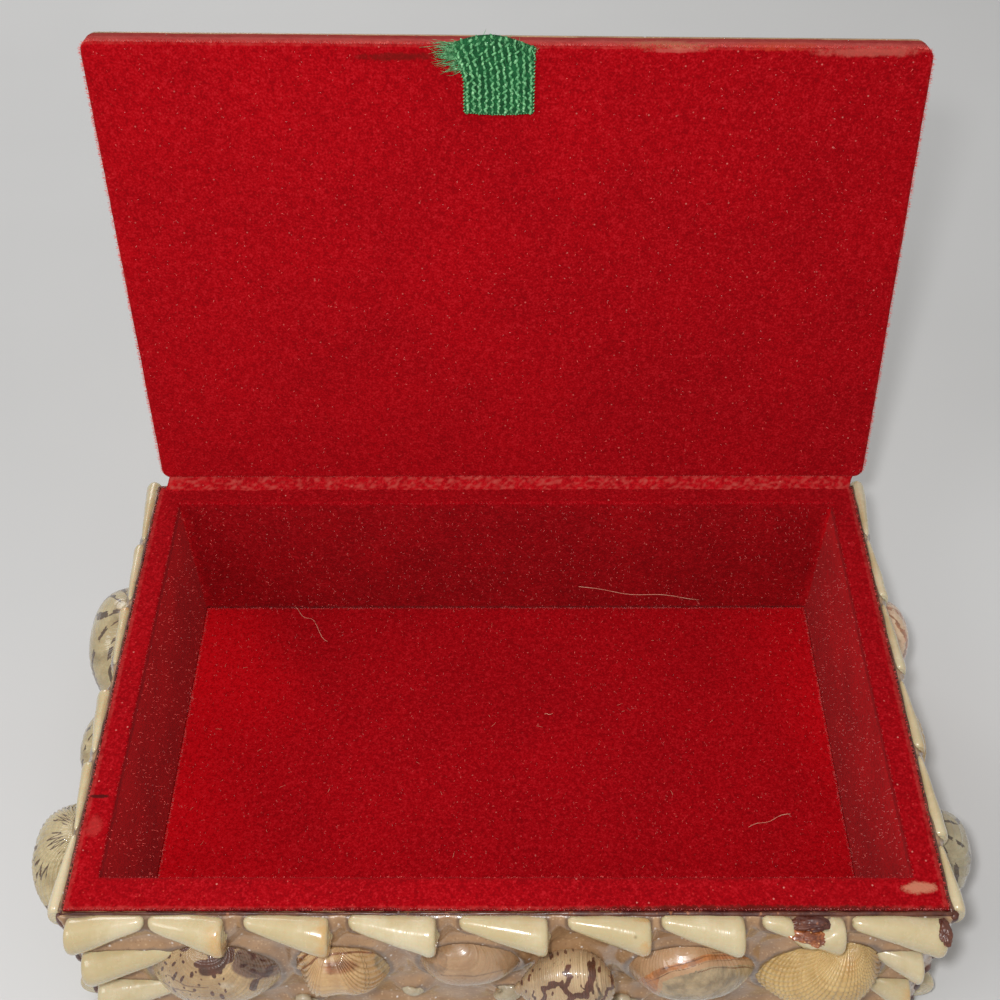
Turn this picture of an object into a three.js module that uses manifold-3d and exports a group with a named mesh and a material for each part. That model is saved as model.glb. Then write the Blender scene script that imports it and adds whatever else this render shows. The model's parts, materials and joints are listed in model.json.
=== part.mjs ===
// A keepsake box covered in sea shells, with a velvet lining and a hinged lid that stands open.
// Millimetres, +Z up. The origin is the centre of the underside; +X is to the right, +Y to the back.

import * as THREE from 'three';
import { mergeVertices } from 'three/addons/utils/BufferGeometryUtils.js';
import Module from 'manifold-3d';

const wasm = await Module();
wasm.setup();

// Driving dimensions of the box
const WIDTH = 165; // over the side boards
const DEPTH = 107; // over the front and back boards
const RIM = 45; // top of the lined rim
const LINING = 1; // velvet on its card
const FLOOR_BOARD = 4;
const FRONT_BOARD = 5.5;
const BACK_BOARD = 4.5;
const SIDE_BOARD = 4.5;
const BED = 1; // the resin that the shells are set in

// Driving dimensions of the lid, measured from the hinge line with the lid shut
const HINGE_HEIGHT = 0.5; // hinge line above the rim
const LID_ANGLE = 102; // how far the lid is open, in degrees
const LID_WIDTH = 167;
const LID_SETBACK = 2; // hinge line to the lid's back edge
const LID_FRONT_SETBACK = 3; // front of the box to the lid's front edge
const LID_LINING_GAP = 0.9; // hinge line up to the lid's lining
const LID_LINING = 0.8; // the velvet also wraps the board's four edges
const LID_BOARD = 3.8;
const LID_BED = 0.6;
const LID_CORNER = 2.5; // radius of the lid's corners
const GLUE_GAP = 0.3; // between pieces that are glued face to face on the lid
const TAB = { width: 15, length: 13.5, thick: 0.6, centre: -1.2 };
const CLOTH = 0.3; // hinge cloth

// Shell sizes that repeat
const CONE = { radius: 3.9, lift: 2.1, tip: 0.25 }; // lift is from the bed to the middle of the cone
const TOP_ROW = 44.6; // level upper edge of the cones along the rim
const STACK = { top: 32.4, pitch: 14.3 }; // cones one above the other at a corner
const FIELD = 23; // middle of the band of larger shells
const SEAT = 0.3; // between a shell's flat back and the bed
const CLAM_LIFT = 0.4; // from the bed to the widest section of a half shell

const IVORY = 0xd9cba0;
const colours = {
  board: { color: 0x8a6a45, roughness: 0.8 },
  velvet: { color: 0xb0101c, roughness: 0.95 },
  ribbon: { color: 0x1f7a46, roughness: 0.8 },
  bed: { color: 0xa08c78, roughness: 0.25 },
  cone: { color: IVORY, roughness: 0.2 },
  clam: { color: 0xc9b08c, roughness: 0.25 },
  cockle: { color: 0xd2a860, roughness: 0.3 },
  snail: { color: 0xcdb48c, roughness: 0.25 },
};
const materials = Object.fromEntries(
  Object.entries(colours).map(([name, look]) => {
    return [name, new THREE.MeshStandardMaterial({ ...look, metalness: 0 })];
  }),
);

// ---- Solids: joining and cutting ----

function toSolid(geometry) {
  const bare = geometry.clone();
  bare.deleteAttribute('normal');
  bare.deleteAttribute('uv');
  const merged = mergeVertices(bare, 1e-4);
  return new wasm.Manifold(
    new wasm.Mesh({
      numProp: 3,
      vertProperties: merged.attributes.position.array,
      triVerts: new Uint32Array(merged.index.array),
    }),
  );
}

function toGeometry(solid) {
  const mesh = solid.getMesh();
  const geometry = new THREE.BufferGeometry();
  geometry.setAttribute('position', new THREE.BufferAttribute(mesh.vertProperties, 3));
  geometry.setIndex(new THREE.BufferAttribute(mesh.triVerts, 1));
  geometry.computeVertexNormals();
  return geometry;
}

// A block between two corners.
function block(low, high) {
  const size = high.map((value, i) => value - low[i]);
  const middle = high.map((value, i) => (value + low[i]) / 2);
  return new THREE.BoxGeometry(...size).translate(...middle);
}

const IN_FRONT_OF_THE_BED = toSolid(block([-100, -100, SEAT], [100, 100, 60]));

// The part of a shape that stands out of the bed, where the bed's face is z = 0.
function seated(geometry) {
  return toSolid(geometry).intersect(IN_FRONT_OF_THE_BED);
}

function piece(name, geometry, material) {
  const mesh = new THREE.Mesh(geometry, materials[material]);
  mesh.name = name;
  return mesh;
}

// ---- Shells. Each is made lying on a face: +X along it, +Y up it, +Z out of it ----

// A shape turned about the X axis from [share of the length, share of the radius] pairs.
function turned(profile, length, radius, sides) {
  const points = profile.map(([along, out]) => new THREE.Vector2(out * radius, along * length));
  return new THREE.LatheGeometry(points, sides).rotateZ(-Math.PI / 2);
}

// A polished cone shell on its side, its tip to the left and its upper edge level along the X axis.
function coneShape(length, radius, sides) {
  const widest = 0.86;
  const profile = [[0, 0], [0.01, CONE.tip], [0.5, 0.7], [widest, 1], [0.97, 0.84], [1, 0]];
  const slope = Math.atan2(radius * (1 - CONE.tip), widest * length);
  return turned(profile, length, radius, sides)
    .rotateZ(-slope)
    .translate(-length / 2, -radius * CONE.tip, (CONE.lift * radius) / CONE.radius);
}

function coneShell(length, radius = CONE.radius, sides = 8) {
  return toGeometry(seated(coneShape(length, radius, sides)));
}

function joined(solids) {
  return solids.reduce((all, solid) => all.add(solid));
}

// Cones laid tip to butt along the X axis and touching, as one solid.
function coneRow(count, span, levelEdgeDown = false) {
  const pitch = span / count;
  const lap = 1.6;
  const cones = [];
  for (let i = 0; i < count; i++) {
    const shape = coneShape(pitch + lap, CONE.radius, 6);
    if (levelEdgeDown) shape.rotateX(Math.PI).translate(0, 0, 2 * CONE.lift);
    cones.push(seated(shape.translate((i + 0.5) * pitch - span / 2, 0, 0)));
  }
  return joined(cones);
}

// Cones one above the other at a corner, butts outwards, joined by a strip of resin, as one solid.
function coneStack(count, length) {
  const solids = [];
  for (let i = 0; i < count; i++) {
    solids.push(seated(coneShape(length, CONE.radius, 8).translate(0, -i * STACK.pitch, 0)));
  }
  const fillet = block([length / 2 - 5, -(count - 1) * STACK.pitch - 4, 0], [length / 2 - 2, -4, 1.2]);
  return toGeometry(joined([...solids, seated(fillet)]));
}

// A half shell lying open side down. Its ribs fan out from a beak near the upper edge.
function clamShape({ width, height, bulge, ribs = 0, beak = 0.55 }) {
  const segments = ribs ? ribs * 2 : 14;
  const flute = ribs ? 0.03 : 0;
  const quarter = Math.PI / 2;
  const dome = [1, 0.8, 0.5, 0.2, 0].map((t) => {
    return new THREE.Vector2(Math.sin(t * quarter), Math.cos(t * quarter));
  });
  const outline = [new THREE.Vector2(0, 0), ...dome];
  const shape = new THREE.LatheGeometry(outline, segments).rotateX(quarter);
  const at = shape.attributes.position;
  for (let i = 0; i < at.count; i++) {
    const onRib = Math.floor(i / outline.length) % 2 === 0;
    const x = at.getX(i) * (onRib ? 1 + flute : 1 - flute);
    const y = at.getY(i) * (onRib ? 1 + flute : 1 - flute);
    const z = at.getZ(i);
    const narrowing = 1 - 0.22 * Math.max(0, y);
    at.setXYZ(i, (x * narrowing * width) / 2, ((y + beak * z) * height) / 2, z * bulge);
  }
  return shape;
}

function clamShell(size) {
  return toGeometry(seated(clamShape(size).translate(0, 0, CLAM_LIFT)));
}

// A spindle-shaped sea snail on its side, its spire to the right.
function snailShell({ length, radius, sides = 9 }) {
  const body = [[0, 0], [0.01, 0.25], [0.2, 0.68], [0.45, 1], [0.62, 0.92]];
  const spire = [[0.66, 0.72], [0.78, 0.56], [0.81, 0.42], [0.92, 0.22], [1, 0]];
  const profile = [...body, ...spire];
  return toGeometry(seated(turned(profile, length, radius, sides).translate(-length / 2, 0, radius * 0.45)));
}

// ---- The box's own boards and lining ----

const halfWidth = WIDTH / 2;
const halfDepth = DEPTH / 2;
const boardTop = RIM - LINING;
const innerX = halfWidth - SIDE_BOARD;
const innerFront = -halfDepth + FRONT_BOARD;
const innerBack = halfDepth - BACK_BOARD;

function boxBoards() {
  return [
    piece('floor_board', block([-innerX, innerFront, 0], [innerX, innerBack, FLOOR_BOARD]), 'board'),
    piece('front_board', block([-halfWidth, -halfDepth, 0], [halfWidth, innerFront, boardTop]), 'board'),
    piece('back_board', block([-halfWidth, innerBack, 0], [halfWidth, halfDepth, boardTop]), 'board'),
    piece('left_board', block([-halfWidth, innerFront, 0], [-innerX, innerBack, boardTop]), 'board'),
    piece('right_board', block([innerX, innerFront, 0], [halfWidth, innerBack, boardTop]), 'board'),
  ];
}

// Velvet that covers the rim and turns down inside the walls.
function wallLining() {
  const rim = toSolid(block([-halfWidth, -halfDepth, boardTop], [halfWidth, halfDepth, RIM]));
  const sleeve = toSolid(block([-innerX, innerFront, FLOOR_BOARD], [innerX, innerBack, boardTop]));
  const space = toSolid(
    block(
      [-innerX + LINING, innerFront + LINING, FLOOR_BOARD - 1],
      [innerX - LINING, innerBack - LINING, RIM + 1],
    ),
  );
  return piece('wall_lining', toGeometry(rim.add(sleeve).subtract(space)), 'velvet');
}

function floorLining() {
  const low = [-innerX + LINING, innerFront + LINING, FLOOR_BOARD];
  const high = [innerX - LINING, innerBack - LINING, FLOOR_BOARD + LINING];
  return piece('floor_lining', block(low, high), 'velvet');
}

// ---- The four shell-covered faces ----

// A group whose +X runs along a side of the box, +Y up it and +Z out of it, from the bed's face.
function face(turnsOfQuarter, distance) {
  const upright = new THREE.Group();
  upright.rotation.x = Math.PI / 2;
  upright.position.y = -distance - BED;
  const around = new THREE.Group();
  around.rotation.z = (turnsOfQuarter * Math.PI) / 2;
  around.add(upright);
  return { around, upright };
}

const front = face(0, halfDepth);
const right = face(1, halfWidth);
const back = face(2, halfDepth);
const left = face(3, halfWidth);

// The front and back beds lap over the ends of the side beds.
function beds() {
  const long = [halfWidth + BED, halfDepth + BED];
  return [
    piece('front_bed', block([-long[0], -long[1], 0], [long[0], -halfDepth, boardTop]), 'bed'),
    piece('back_bed', block([-long[0], halfDepth, 0], [long[0], long[1], boardTop]), 'bed'),
    piece('left_bed', block([-long[0], -halfDepth, 0], [-halfWidth, halfDepth, boardTop]), 'bed'),
    piece('right_bed', block([halfWidth, -halfDepth, 0], [long[0], halfDepth, boardTop]), 'bed'),
  ];
}

function place(mesh, x, y, { turn = 0, mirror = false } = {}) {
  mesh.position.set(x, y, 0);
  mesh.rotation.z = THREE.MathUtils.degToRad(turn);
  if (mirror) mesh.scale.x = -1;
  return mesh;
}

// Where each cone's butt lies along the front, with its length. The first is turned round.
const frontTopCones = [
  { butt: -82.4, length: 15, tipRight: true },
  { butt: -52, length: 14.5 },
  { butt: -32.2, length: 16.5 },
  { butt: -12.2, length: 17 },
  { butt: 8.6, length: 17.2 },
  { butt: 27.6, length: 16 },
  { butt: 45, length: 16 },
  { butt: 63.4, length: 15.7 },
  { butt: 82.4, length: 18.1 },
];

// Where each cone's butt lies along the left side, from the back, with its length and radius.
const leftTopCones = [
  { butt: -57, length: 19, radius: 3.6, tipRight: true },
  { butt: -37.2, length: 17, radius: 2.8, tipRight: true },
  { butt: -18.8, length: 16, radius: 2.8, tipRight: true },
  { butt: 3, length: 16, radius: 3.3, tipRight: true },
  { butt: 20.6, length: 16, radius: 2.7, tipRight: true },
  { butt: 54.4, length: 16.8, radius: 3.2 },
];

// The same along the right side, from the front.
const rightTopCones = [
  { butt: -54, length: 14, radius: 3.1, tipRight: true },
  { butt: -38.6, length: 18.6, radius: 3.1, tipRight: true },
  { butt: -18.8, length: 17, radius: 2.7, tipRight: true },
  { butt: 0.6, length: 18, radius: 2.7, tipRight: true },
  { butt: 20.4, length: 17, radius: 2.6, tipRight: true },
  { butt: 57, length: 18, radius: 3.3 },
];

// The cones that run along the rim on one face.
function topCones(side, list) {
  return list.map(({ butt, length, radius = CONE.radius, tipRight = false }, i) => {
    const middle = tipRight ? butt + length / 2 : butt - length / 2;
    const cone = piece(`${side}_top_cone_${i + 1}`, coneShell(length, radius), 'cone');
    return place(cone, middle, TOP_ROW, { mirror: tipRight });
  });
}

function frontShells() {
  const stacks = [
    place(piece('front_left_cone_stack', coneStack(2, 13), 'cone'), -74.5, STACK.top, { mirror: true }),
    place(piece('front_right_cone_stack', coneStack(2, 9.4), 'cone'), 77.8, STACK.top),
  ];
  const spotted = clamShell({ width: 25.5, height: 22, bulge: 8 });
  const ark = clamShell({ width: 14, height: 18, bulge: 6, ribs: 9 });
  const moon = clamShell({ width: 19.5, height: 12, bulge: 4.5 });
  const volute = snailShell({ length: 19.5, radius: 8.2 });
  const tellin = clamShell({ width: 26, height: 15, bulge: 5.5 });
  const cockle = clamShell({ width: 25, height: 22, bulge: 9, ribs: 13 });
  const field = [
    place(piece('front_spotted_clam', spotted, 'clam'), -55.6, 23.5),
    place(piece('front_ribbed_ark', ark, 'cockle'), -31, 27.5, { turn: 103 }),
    place(piece('front_moon_shell', moon, 'clam'), -8, 28, { turn: 12 }),
    place(piece('front_zigzag_volute', volute, 'snail'), 11.3, 26, { turn: -8, mirror: true }),
    place(piece('front_peach_tellin', tellin, 'clam'), 36, 26, { turn: 12 }),
    place(piece('front_yellow_cockle', cockle, 'cockle'), 61, 24.5),
  ];
  return [...topCones('front', frontTopCones), ...stacks, ...field];
}

function leftShells() {
  const striped = clamShell({ width: 31, height: 24, bulge: 11.1 });
  const small = clamShell({ width: 17, height: 16, bulge: 6.7 });
  const venus = clamShell({ width: 27, height: 24, bulge: 12.2, ribs: 13 });
  return [
    ...topCones('left', leftTopCones),
    place(piece('left_striped_clam', striped, 'clam'), -19.5, FIELD + 1.5),
    place(piece('left_small_clam', small, 'clam'), 10.5, FIELD + 2, { turn: 14 }),
    place(piece('left_venus_clam', venus, 'clam'), 35, FIELD + 1.5),
  ];
}

function rightShells() {
  const glassy = clamShell({ width: 26, height: 24, bulge: 10.6 });
  const ribbed = clamShell({ width: 24, height: 21, bulge: 7.5, ribs: 12 });
  const peach = clamShell({ width: 25, height: 23, bulge: 9.2 });
  return [
    ...topCones('right', rightTopCones),
    place(piece('right_glassy_clam', glassy, 'clam'), -33, FIELD + 1.5),
    place(piece('right_ribbed_cockle', ribbed, 'cockle'), -6, FIELD),
    place(piece('right_peach_clam', peach, 'clam'), 21.5, FIELD + 1.5, { turn: -8 }),
  ];
}

// Clams laid in a line so that each laps the next, as one solid.
function clamRow(count, span, size) {
  const pitch = (span - size.width) / (count - 1);
  const clams = [];
  for (let i = 0; i < count; i++) {
    clams.push(seated(clamShape(size).translate((i - (count - 1) / 2) * pitch, 0, CLAM_LIFT)));
  }
  return joined(clams);
}

function backShells() {
  const clams = clamRow(6, 150, { width: 27, height: 22, bulge: 8 });
  return [
    place(piece('back_top_cones', toGeometry(coneRow(9, 163)), 'cone'), 0, TOP_ROW),
    place(piece('back_clams', toGeometry(clams), 'clam'), 0, FIELD),
  ];
}

// ---- The lid, made shut about the hinge line and then swung open ----

const lidBoardLow = LID_LINING_GAP + LID_LINING + GLUE_GAP;
const lidBedLow = lidBoardLow + LID_BOARD + GLUE_GAP;
const lidFront = DEPTH - LID_FRONT_SETBACK; // hinge line to the lid's front edge
const lidMiddle = -(lidFront + LID_SETBACK) / 2;
const lidLength = lidFront - LID_SETBACK;
const lidHalfWidth = LID_WIDTH / 2;

// A slab with rounded corners, smaller than the lid's outline by the inset.
function lidSlab(inset, low, high) {
  const x = lidHalfWidth - inset;
  const y = lidLength / 2 - inset;
  const radius = LID_CORNER - inset;
  const outline = new THREE.Shape();
  const corners = [[1, 1], [-1, 1], [-1, -1], [1, -1]];
  corners.forEach(([sx, sy], i) => {
    const start = (i * Math.PI) / 2;
    outline.absarc(sx * (x - radius), sy * (y - radius), radius, start, start + Math.PI / 2);
  });
  outline.closePath();
  const slab = new THREE.ExtrudeGeometry(outline, { depth: high - low, bevelEnabled: false, curveSegments: 4 });
  return slab.translate(0, lidMiddle, low);
}

// The velvet is a shallow tray round the board.
function lidLining() {
  const top = lidBoardLow + LID_BOARD;
  const tray = toSolid(lidSlab(0, LID_LINING_GAP, top));
  const space = toSolid(lidSlab(LID_LINING, LID_LINING_GAP + LID_LINING, top + 1));
  return piece('lid_lining', toGeometry(tray.subtract(space)), 'velvet');
}

function lidBoards() {
  const board = lidSlab(LID_LINING + GLUE_GAP, lidBoardLow, lidBoardLow + LID_BOARD);
  return [piece('lid_board', board, 'board'), piece('lid_bed', lidSlab(0, lidBedLow, lidBedLow + LID_BED), 'bed')];
}

function pullTab() {
  const endOfLid = 1 - lidFront;
  const top = LID_LINING_GAP - GLUE_GAP;
  return piece(
    'pull_tab',
    block(
      [TAB.centre - TAB.width / 2, endOfLid, top - TAB.thick],
      [TAB.centre + TAB.width / 2, endOfLid + TAB.length, top],
    ),
    'ribbon',
  );
}

// Rows of cones along the four edges of the lid's top, level edges outwards.
function lidBorder() {
  const edge = 0.6; // from the lid's edge to the level edge of a row
  const cornerRoom = 11; // kept free at each end of a side row for the rows across
  const across = LID_WIDTH - 2;
  const along = lidLength - 2 * cornerRoom;
  const turn = 90;
  const rows = {
    lid_back_cones: coneRow(9, across).translate([0, lidLength / 2 - edge, 0]),
    lid_front_cones: coneRow(9, across, true).translate([0, -lidLength / 2 + edge, 0]),
    lid_left_cones: coneRow(5, along).rotate([0, 0, turn]).translate([-lidHalfWidth + edge, 0, 0]),
    lid_right_cones: coneRow(5, along, true).rotate([0, 0, turn]).translate([lidHalfWidth - edge, 0, 0]),
  };
  return Object.entries(rows).map(([name, row]) => piece(name, toGeometry(row), 'cone'));
}

// The shells inside the border: a column of clams on each side of a large cockle.
function lidField() {
  const size = { width: 29, height: 40, bulge: 8 };
  const column = clamRow(3, 76, size).rotate([0, 0, 90]);
  const spacing = 45;
  const cockle = clamShell({ width: 42, height: 46, bulge: 10, ribs: 15 });
  return [
    place(piece('lid_left_clams', toGeometry(column), 'clam'), -spacing, 0),
    place(piece('lid_right_clams', toGeometry(column), 'clam'), spacing, 0, { mirror: true }),
    place(piece('lid_centre_cockle', cockle, 'cockle'), 0, 0),
  ];
}

function lid() {
  const hinge = new THREE.Group();
  hinge.position.set(0, halfDepth, RIM + HINGE_HEIGHT);
  hinge.rotation.x = -THREE.MathUtils.degToRad(LID_ANGLE);
  const shells = new THREE.Group();
  shells.position.set(0, lidMiddle, lidBedLow + LID_BED);
  shells.add(...lidBorder(), ...lidField());
  hinge.add(lidLining(), ...lidBoards(), pullTab(), shells);
  return hinge;
}

// A strip of velvet along the hinge line, folded once between the rim and the lid.
function hingeCloth() {
  const half = halfWidth - 1;
  const depth = 1.2;
  const low = RIM + 0.05;
  return piece('hinge_cloth', block([-half, halfDepth - depth, low], [half, halfDepth, low + CLOTH]), 'velvet');
}

const box = new THREE.Group();
box.add(...boxBoards(), wallLining(), floorLining(), hingeCloth(), ...beds());
for (const side of [front, right, back, left]) box.add(side.around);
front.upright.add(...frontShells());
right.upright.add(...rightShells());
back.upright.add(...backShells());
left.upright.add(...leftShells());
box.add(lid());

export default box;
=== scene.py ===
import json
import math
import random
from math import cos, hypot, pi, radians, sin

import bmesh
import bpy
from mathutils import Matrix, Quaternion, Vector, noise
from mathutils.bvhtree import BVHTree


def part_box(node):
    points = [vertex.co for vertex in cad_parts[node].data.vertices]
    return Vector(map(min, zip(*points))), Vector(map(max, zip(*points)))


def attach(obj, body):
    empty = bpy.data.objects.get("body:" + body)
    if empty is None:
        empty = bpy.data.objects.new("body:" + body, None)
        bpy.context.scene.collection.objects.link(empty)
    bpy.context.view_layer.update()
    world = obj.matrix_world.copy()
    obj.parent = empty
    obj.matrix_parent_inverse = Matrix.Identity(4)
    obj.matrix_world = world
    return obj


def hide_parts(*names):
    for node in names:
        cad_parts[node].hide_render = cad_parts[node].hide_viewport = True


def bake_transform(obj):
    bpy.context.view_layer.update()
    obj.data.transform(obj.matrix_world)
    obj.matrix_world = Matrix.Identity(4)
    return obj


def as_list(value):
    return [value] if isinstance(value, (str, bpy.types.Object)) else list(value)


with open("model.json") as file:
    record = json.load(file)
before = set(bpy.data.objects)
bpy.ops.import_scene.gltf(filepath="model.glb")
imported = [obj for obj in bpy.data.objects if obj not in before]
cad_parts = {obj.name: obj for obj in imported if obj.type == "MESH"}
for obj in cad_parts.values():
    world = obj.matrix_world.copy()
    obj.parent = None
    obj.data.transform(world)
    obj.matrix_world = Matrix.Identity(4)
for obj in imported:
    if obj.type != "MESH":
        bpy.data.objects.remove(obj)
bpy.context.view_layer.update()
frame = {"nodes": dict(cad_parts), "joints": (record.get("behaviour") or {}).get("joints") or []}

MM = 0.001  # the row frame is in metres, and the faces below are laid out in millimetres


# ---- The faces: millimetres across, up and out of each, turned into the row frame ----

def face_frame(origin, across, up):
    across, up = Vector(across), Vector(up)
    turn = Matrix((across, up, across.cross(up))).transposed().to_4x4()
    return Matrix.Translation(origin) @ turn @ Matrix.Scale(MM, 4)


def local_box(node, matrix):
    """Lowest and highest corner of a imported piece, in a face's own millimetres."""
    to_face = matrix.inverted()
    points = [to_face @ v.co for v in frame["nodes"][node].data.vertices]
    low = Vector([min(p[i] for p in points) for i in range(3)])
    high = Vector([max(p[i] for p in points) for i in range(3)])
    return low, high


hinge = frame["joints"][0]
LID_SWING = radians(max(abs(limit) for limit in hinge["range_deg"]))
SHUT_LID = Matrix.Translation(hinge["pos_m"]) @ Matrix.Rotation(-LID_SWING, 4, "X") @ Matrix.Scale(MM, 4)
bed_low, bed_high = local_box("lid_bed", SHUT_LID)

FACES = {
    "front": face_frame((0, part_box("front_bed")[0].y, 0), (1, 0, 0), (0, 0, 1)),
    "right": face_frame((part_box("right_bed")[1].x, 0, 0), (0, 1, 0), (0, 0, 1)),
    "back": face_frame((0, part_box("back_bed")[1].y, 0), (-1, 0, 0), (0, 0, 1)),
    "left": face_frame((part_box("left_bed")[0].x, 0, 0), (0, -1, 0), (0, 0, 1)),
    "lid": SHUT_LID @ Matrix.Translation((0, (bed_low.y + bed_high.y) / 2, bed_high.z)),
}
BODIES = {name: "lid" if name == "lid" else "box" for name in FACES}
# The velvet side of the lid: across, away from the hinge line, and out of the velvet.
LID_INSIDE = SHUT_LID @ Matrix.Rotation(pi, 4, "X")
ROW = Matrix.Scale(MM, 4)  # the row frame itself, in millimetres
LID_MIDDLE = -(bed_low.y + bed_high.y) / 2  # from the hinge line to the middle of the lid

# The real lid is a little out of square.
LID_SHIFT = 1.7  # to the right at the hinge
LID_LEAN = 0.0114  # and back to the left towards the front edge
LID_TAPER = 0.00012  # and shorter on the right


def out_of_square(bm, matrix):
    """Takes a form on the lid out of square, as the lid is."""
    if matrix not in (LID_INSIDE, FACES["lid"]):
        return
    inside = matrix == LID_INSIDE
    for v in bm.verts:
        from_hinge = v.co.y if inside else LID_MIDDLE - v.co.y
        shift = LID_TAPER * v.co.x * from_hinge
        v.co.x += LID_SHIFT - LID_LEAN * from_hinge
        v.co.y += -shift if inside else shift


# ---- Shader nodes ----

def node(tree, kind, inputs=None, **settings):
    """Adds a shader node. Each input is a value, or the socket that feeds it."""
    made = tree.nodes.new("ShaderNode" + kind)
    for key, value in settings.items():
        setattr(made, key, value)
    for key, value in (inputs or {}).items():
        socket = made.inputs[key]
        if isinstance(value, bpy.types.NodeSocket):
            tree.links.new(value, socket)
        else:
            socket.default_value = value
    return made


def maths(tree, operation, *values, clamp=False):
    inputs = dict(enumerate(values))
    return node(tree, "Math", inputs, operation=operation, use_clamp=clamp).outputs[0]


def mixed(tree, factor, first, second, blend="MIX"):
    inputs = {0: factor, 6: first, 7: second}
    return node(tree, "Mix", inputs, data_type="RGBA", blend_type=blend).outputs[2]


def spread(tree, value, low, high, to_low=0.0, to_high=1.0):
    """The value, with low to high stretched over to_low to to_high."""
    inputs = {0: value, 1: low, 2: high, 3: to_low, 4: to_high}
    return node(tree, "MapRange", inputs, interpolation_type="SMOOTHSTEP").outputs[0]


def noise_at(tree, vector, scale, detail=3.0, roughness=0.5):
    inputs = {"Vector": vector, "Scale": scale, "Detail": detail, "Roughness": roughness}
    return node(tree, "TexNoise", inputs).outputs[0]


def place_on(tree):
    return node(tree, "TexCoord").outputs["Object"]


def attribute(tree, name, output="Fac"):
    return node(tree, "Attribute", attribute_name=name).outputs[output]


def colour(red, green, blue):
    """A colour given as it looks on a screen, 0 to 255."""
    def linear(share):
        return share / 12.92 if share <= 0.04045 else ((share + 0.055) / 1.055) ** 2.4

    return (*(linear(value / 255) for value in (red, green, blue)), 1.0)


def node_group(name, inputs, outputs):
    """An empty shader node group with its sockets; returns its tree, its inputs and its output node."""
    tree = bpy.data.node_groups.new(name, "ShaderNodeTree")
    for label, (kind, value) in inputs.items():
        socket = tree.interface.new_socket(label, in_out="INPUT", socket_type="NodeSocket" + kind)
        socket.default_value = value
    for label, kind in outputs.items():
        tree.interface.new_socket(label, in_out="OUTPUT", socket_type="NodeSocket" + kind)
    return tree, tree.nodes.new("NodeGroupInput").outputs, tree.nodes.new("NodeGroupOutput")


def use_group(tree, group, inputs):
    made = tree.nodes.new("ShaderNodeGroup")
    made.node_tree = group
    for key, value in inputs.items():
        socket = made.inputs[key]
        if isinstance(value, bpy.types.NodeSocket):
            tree.links.new(value, socket)
        else:
            socket.default_value = value
    return made.outputs


def mottle_group():
    """Two tones that drift into each other in soft patches."""
    tree, given, out = node_group(
        "mottle",
        {"Size": ("Float", 100.0), "Contrast": ("Float", 0.2), "Tone": ("Color", (1, 1, 1, 1)),
         "Other tone": ("Color", (0, 0, 0, 1))},
        {"Colour": "Color", "Mask": "Float"},
    )
    cloud = noise_at(tree, place_on(tree), given["Size"], detail=4.0, roughness=0.6)
    low = maths(tree, "SUBTRACT", 0.5, given["Contrast"])
    high = maths(tree, "ADD", 0.5, given["Contrast"])
    mask = spread(tree, cloud, low, high)
    tree.links.new(mixed(tree, mask, given["Tone"], given["Other tone"]), out.inputs["Colour"])
    tree.links.new(mask, out.inputs["Mask"])
    return tree


def specks_group():
    """Scattered points, as of glitter, dust or fibre ends. Share is how many of the cells hold one."""
    tree, given, out = node_group(
        "specks",
        {"Cells": ("Float", 1000.0), "Share": ("Float", 0.1), "Width": ("Float", 0.3)},
        {"Mask": "Float", "Tilt": "Vector"},
    )
    cells = node(tree, "TexVoronoi", {"Vector": place_on(tree), "Scale": given["Cells"]}).outputs
    inside = spread(tree, cells["Distance"], given["Width"], 0.0)
    number = node(tree, "SeparateColor", {0: cells["Color"]}).outputs[0]
    chosen = maths(tree, "LESS_THAN", number, given["Share"])
    tree.links.new(maths(tree, "MULTIPLY", inside, chosen), out.inputs["Mask"])
    tree.links.new(cells["Color"], out.inputs["Tilt"])
    return tree


def growth_group():
    """Lines left by a shell's growth, from the growth attribute: along it, round it, and its own number."""
    tree, given, out = node_group(
        "growth_lines",
        {"Lines": ("Float", 20.0), "Wander": ("Float", 0.04)},
        {"Mask": "Float"},
    )
    growth = attribute(tree, "growth", "Vector")
    along = node(tree, "SeparateXYZ", {0: growth}).outputs[0]
    drift = noise_at(tree, growth, 7.0, detail=2.0)
    bent = maths(tree, "ADD", along, maths(tree, "MULTIPLY", drift, given["Wander"]))
    count = maths(tree, "MULTIPLY", bent, given["Lines"])
    uneven = node(tree, "TexNoise", {"W": count, "Scale": 1.0, "Detail": 3.0},
                  noise_dimensions="1D").outputs[0]
    tree.links.new(spread(tree, uneven, 0.35, 0.65), out.inputs["Mask"])
    return tree


def crevice_shade_and_glue_group():
    """Painted shade and old glue beside the shells, from the near attribute, broken up by noise."""
    tree, given, out = node_group(
        "crevice_shade_and_glue", {"Reach": ("Float", 0.5), "Size": ("Float", 300.0)}, {"Mask": "Float"}
    )
    ragged = noise_at(tree, place_on(tree), given["Size"], detail=4.0, roughness=0.65)
    level = maths(tree, "ADD", attribute(tree, "near"), maths(tree, "SUBTRACT", ragged, 0.5))
    tree.links.new(spread(tree, level, given["Reach"], 1.0), out.inputs["Mask"])
    return tree


MOTTLE = mottle_group()
SPECKS = specks_group()
# also the tone of the painted highlight on the lid's edges
WEAR_AND_EDGE_LIGHT_TONE = (176, 66, 60)  # velvet whose pile has gone
GROWTH = growth_group()
CREVICE_SHADE_AND_GLUE = crevice_shade_and_glue_group()


def mottled(tree, size, contrast, tone, other):
    inputs = {"Size": size, "Contrast": contrast, "Tone": tone, "Other tone": other}
    return use_group(tree, MOTTLE, inputs)["Colour"]


def specks(tree, cells, share, width=0.3):
    return use_group(tree, SPECKS, {"Cells": cells, "Share": share, "Width": width})["Mask"]


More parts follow.
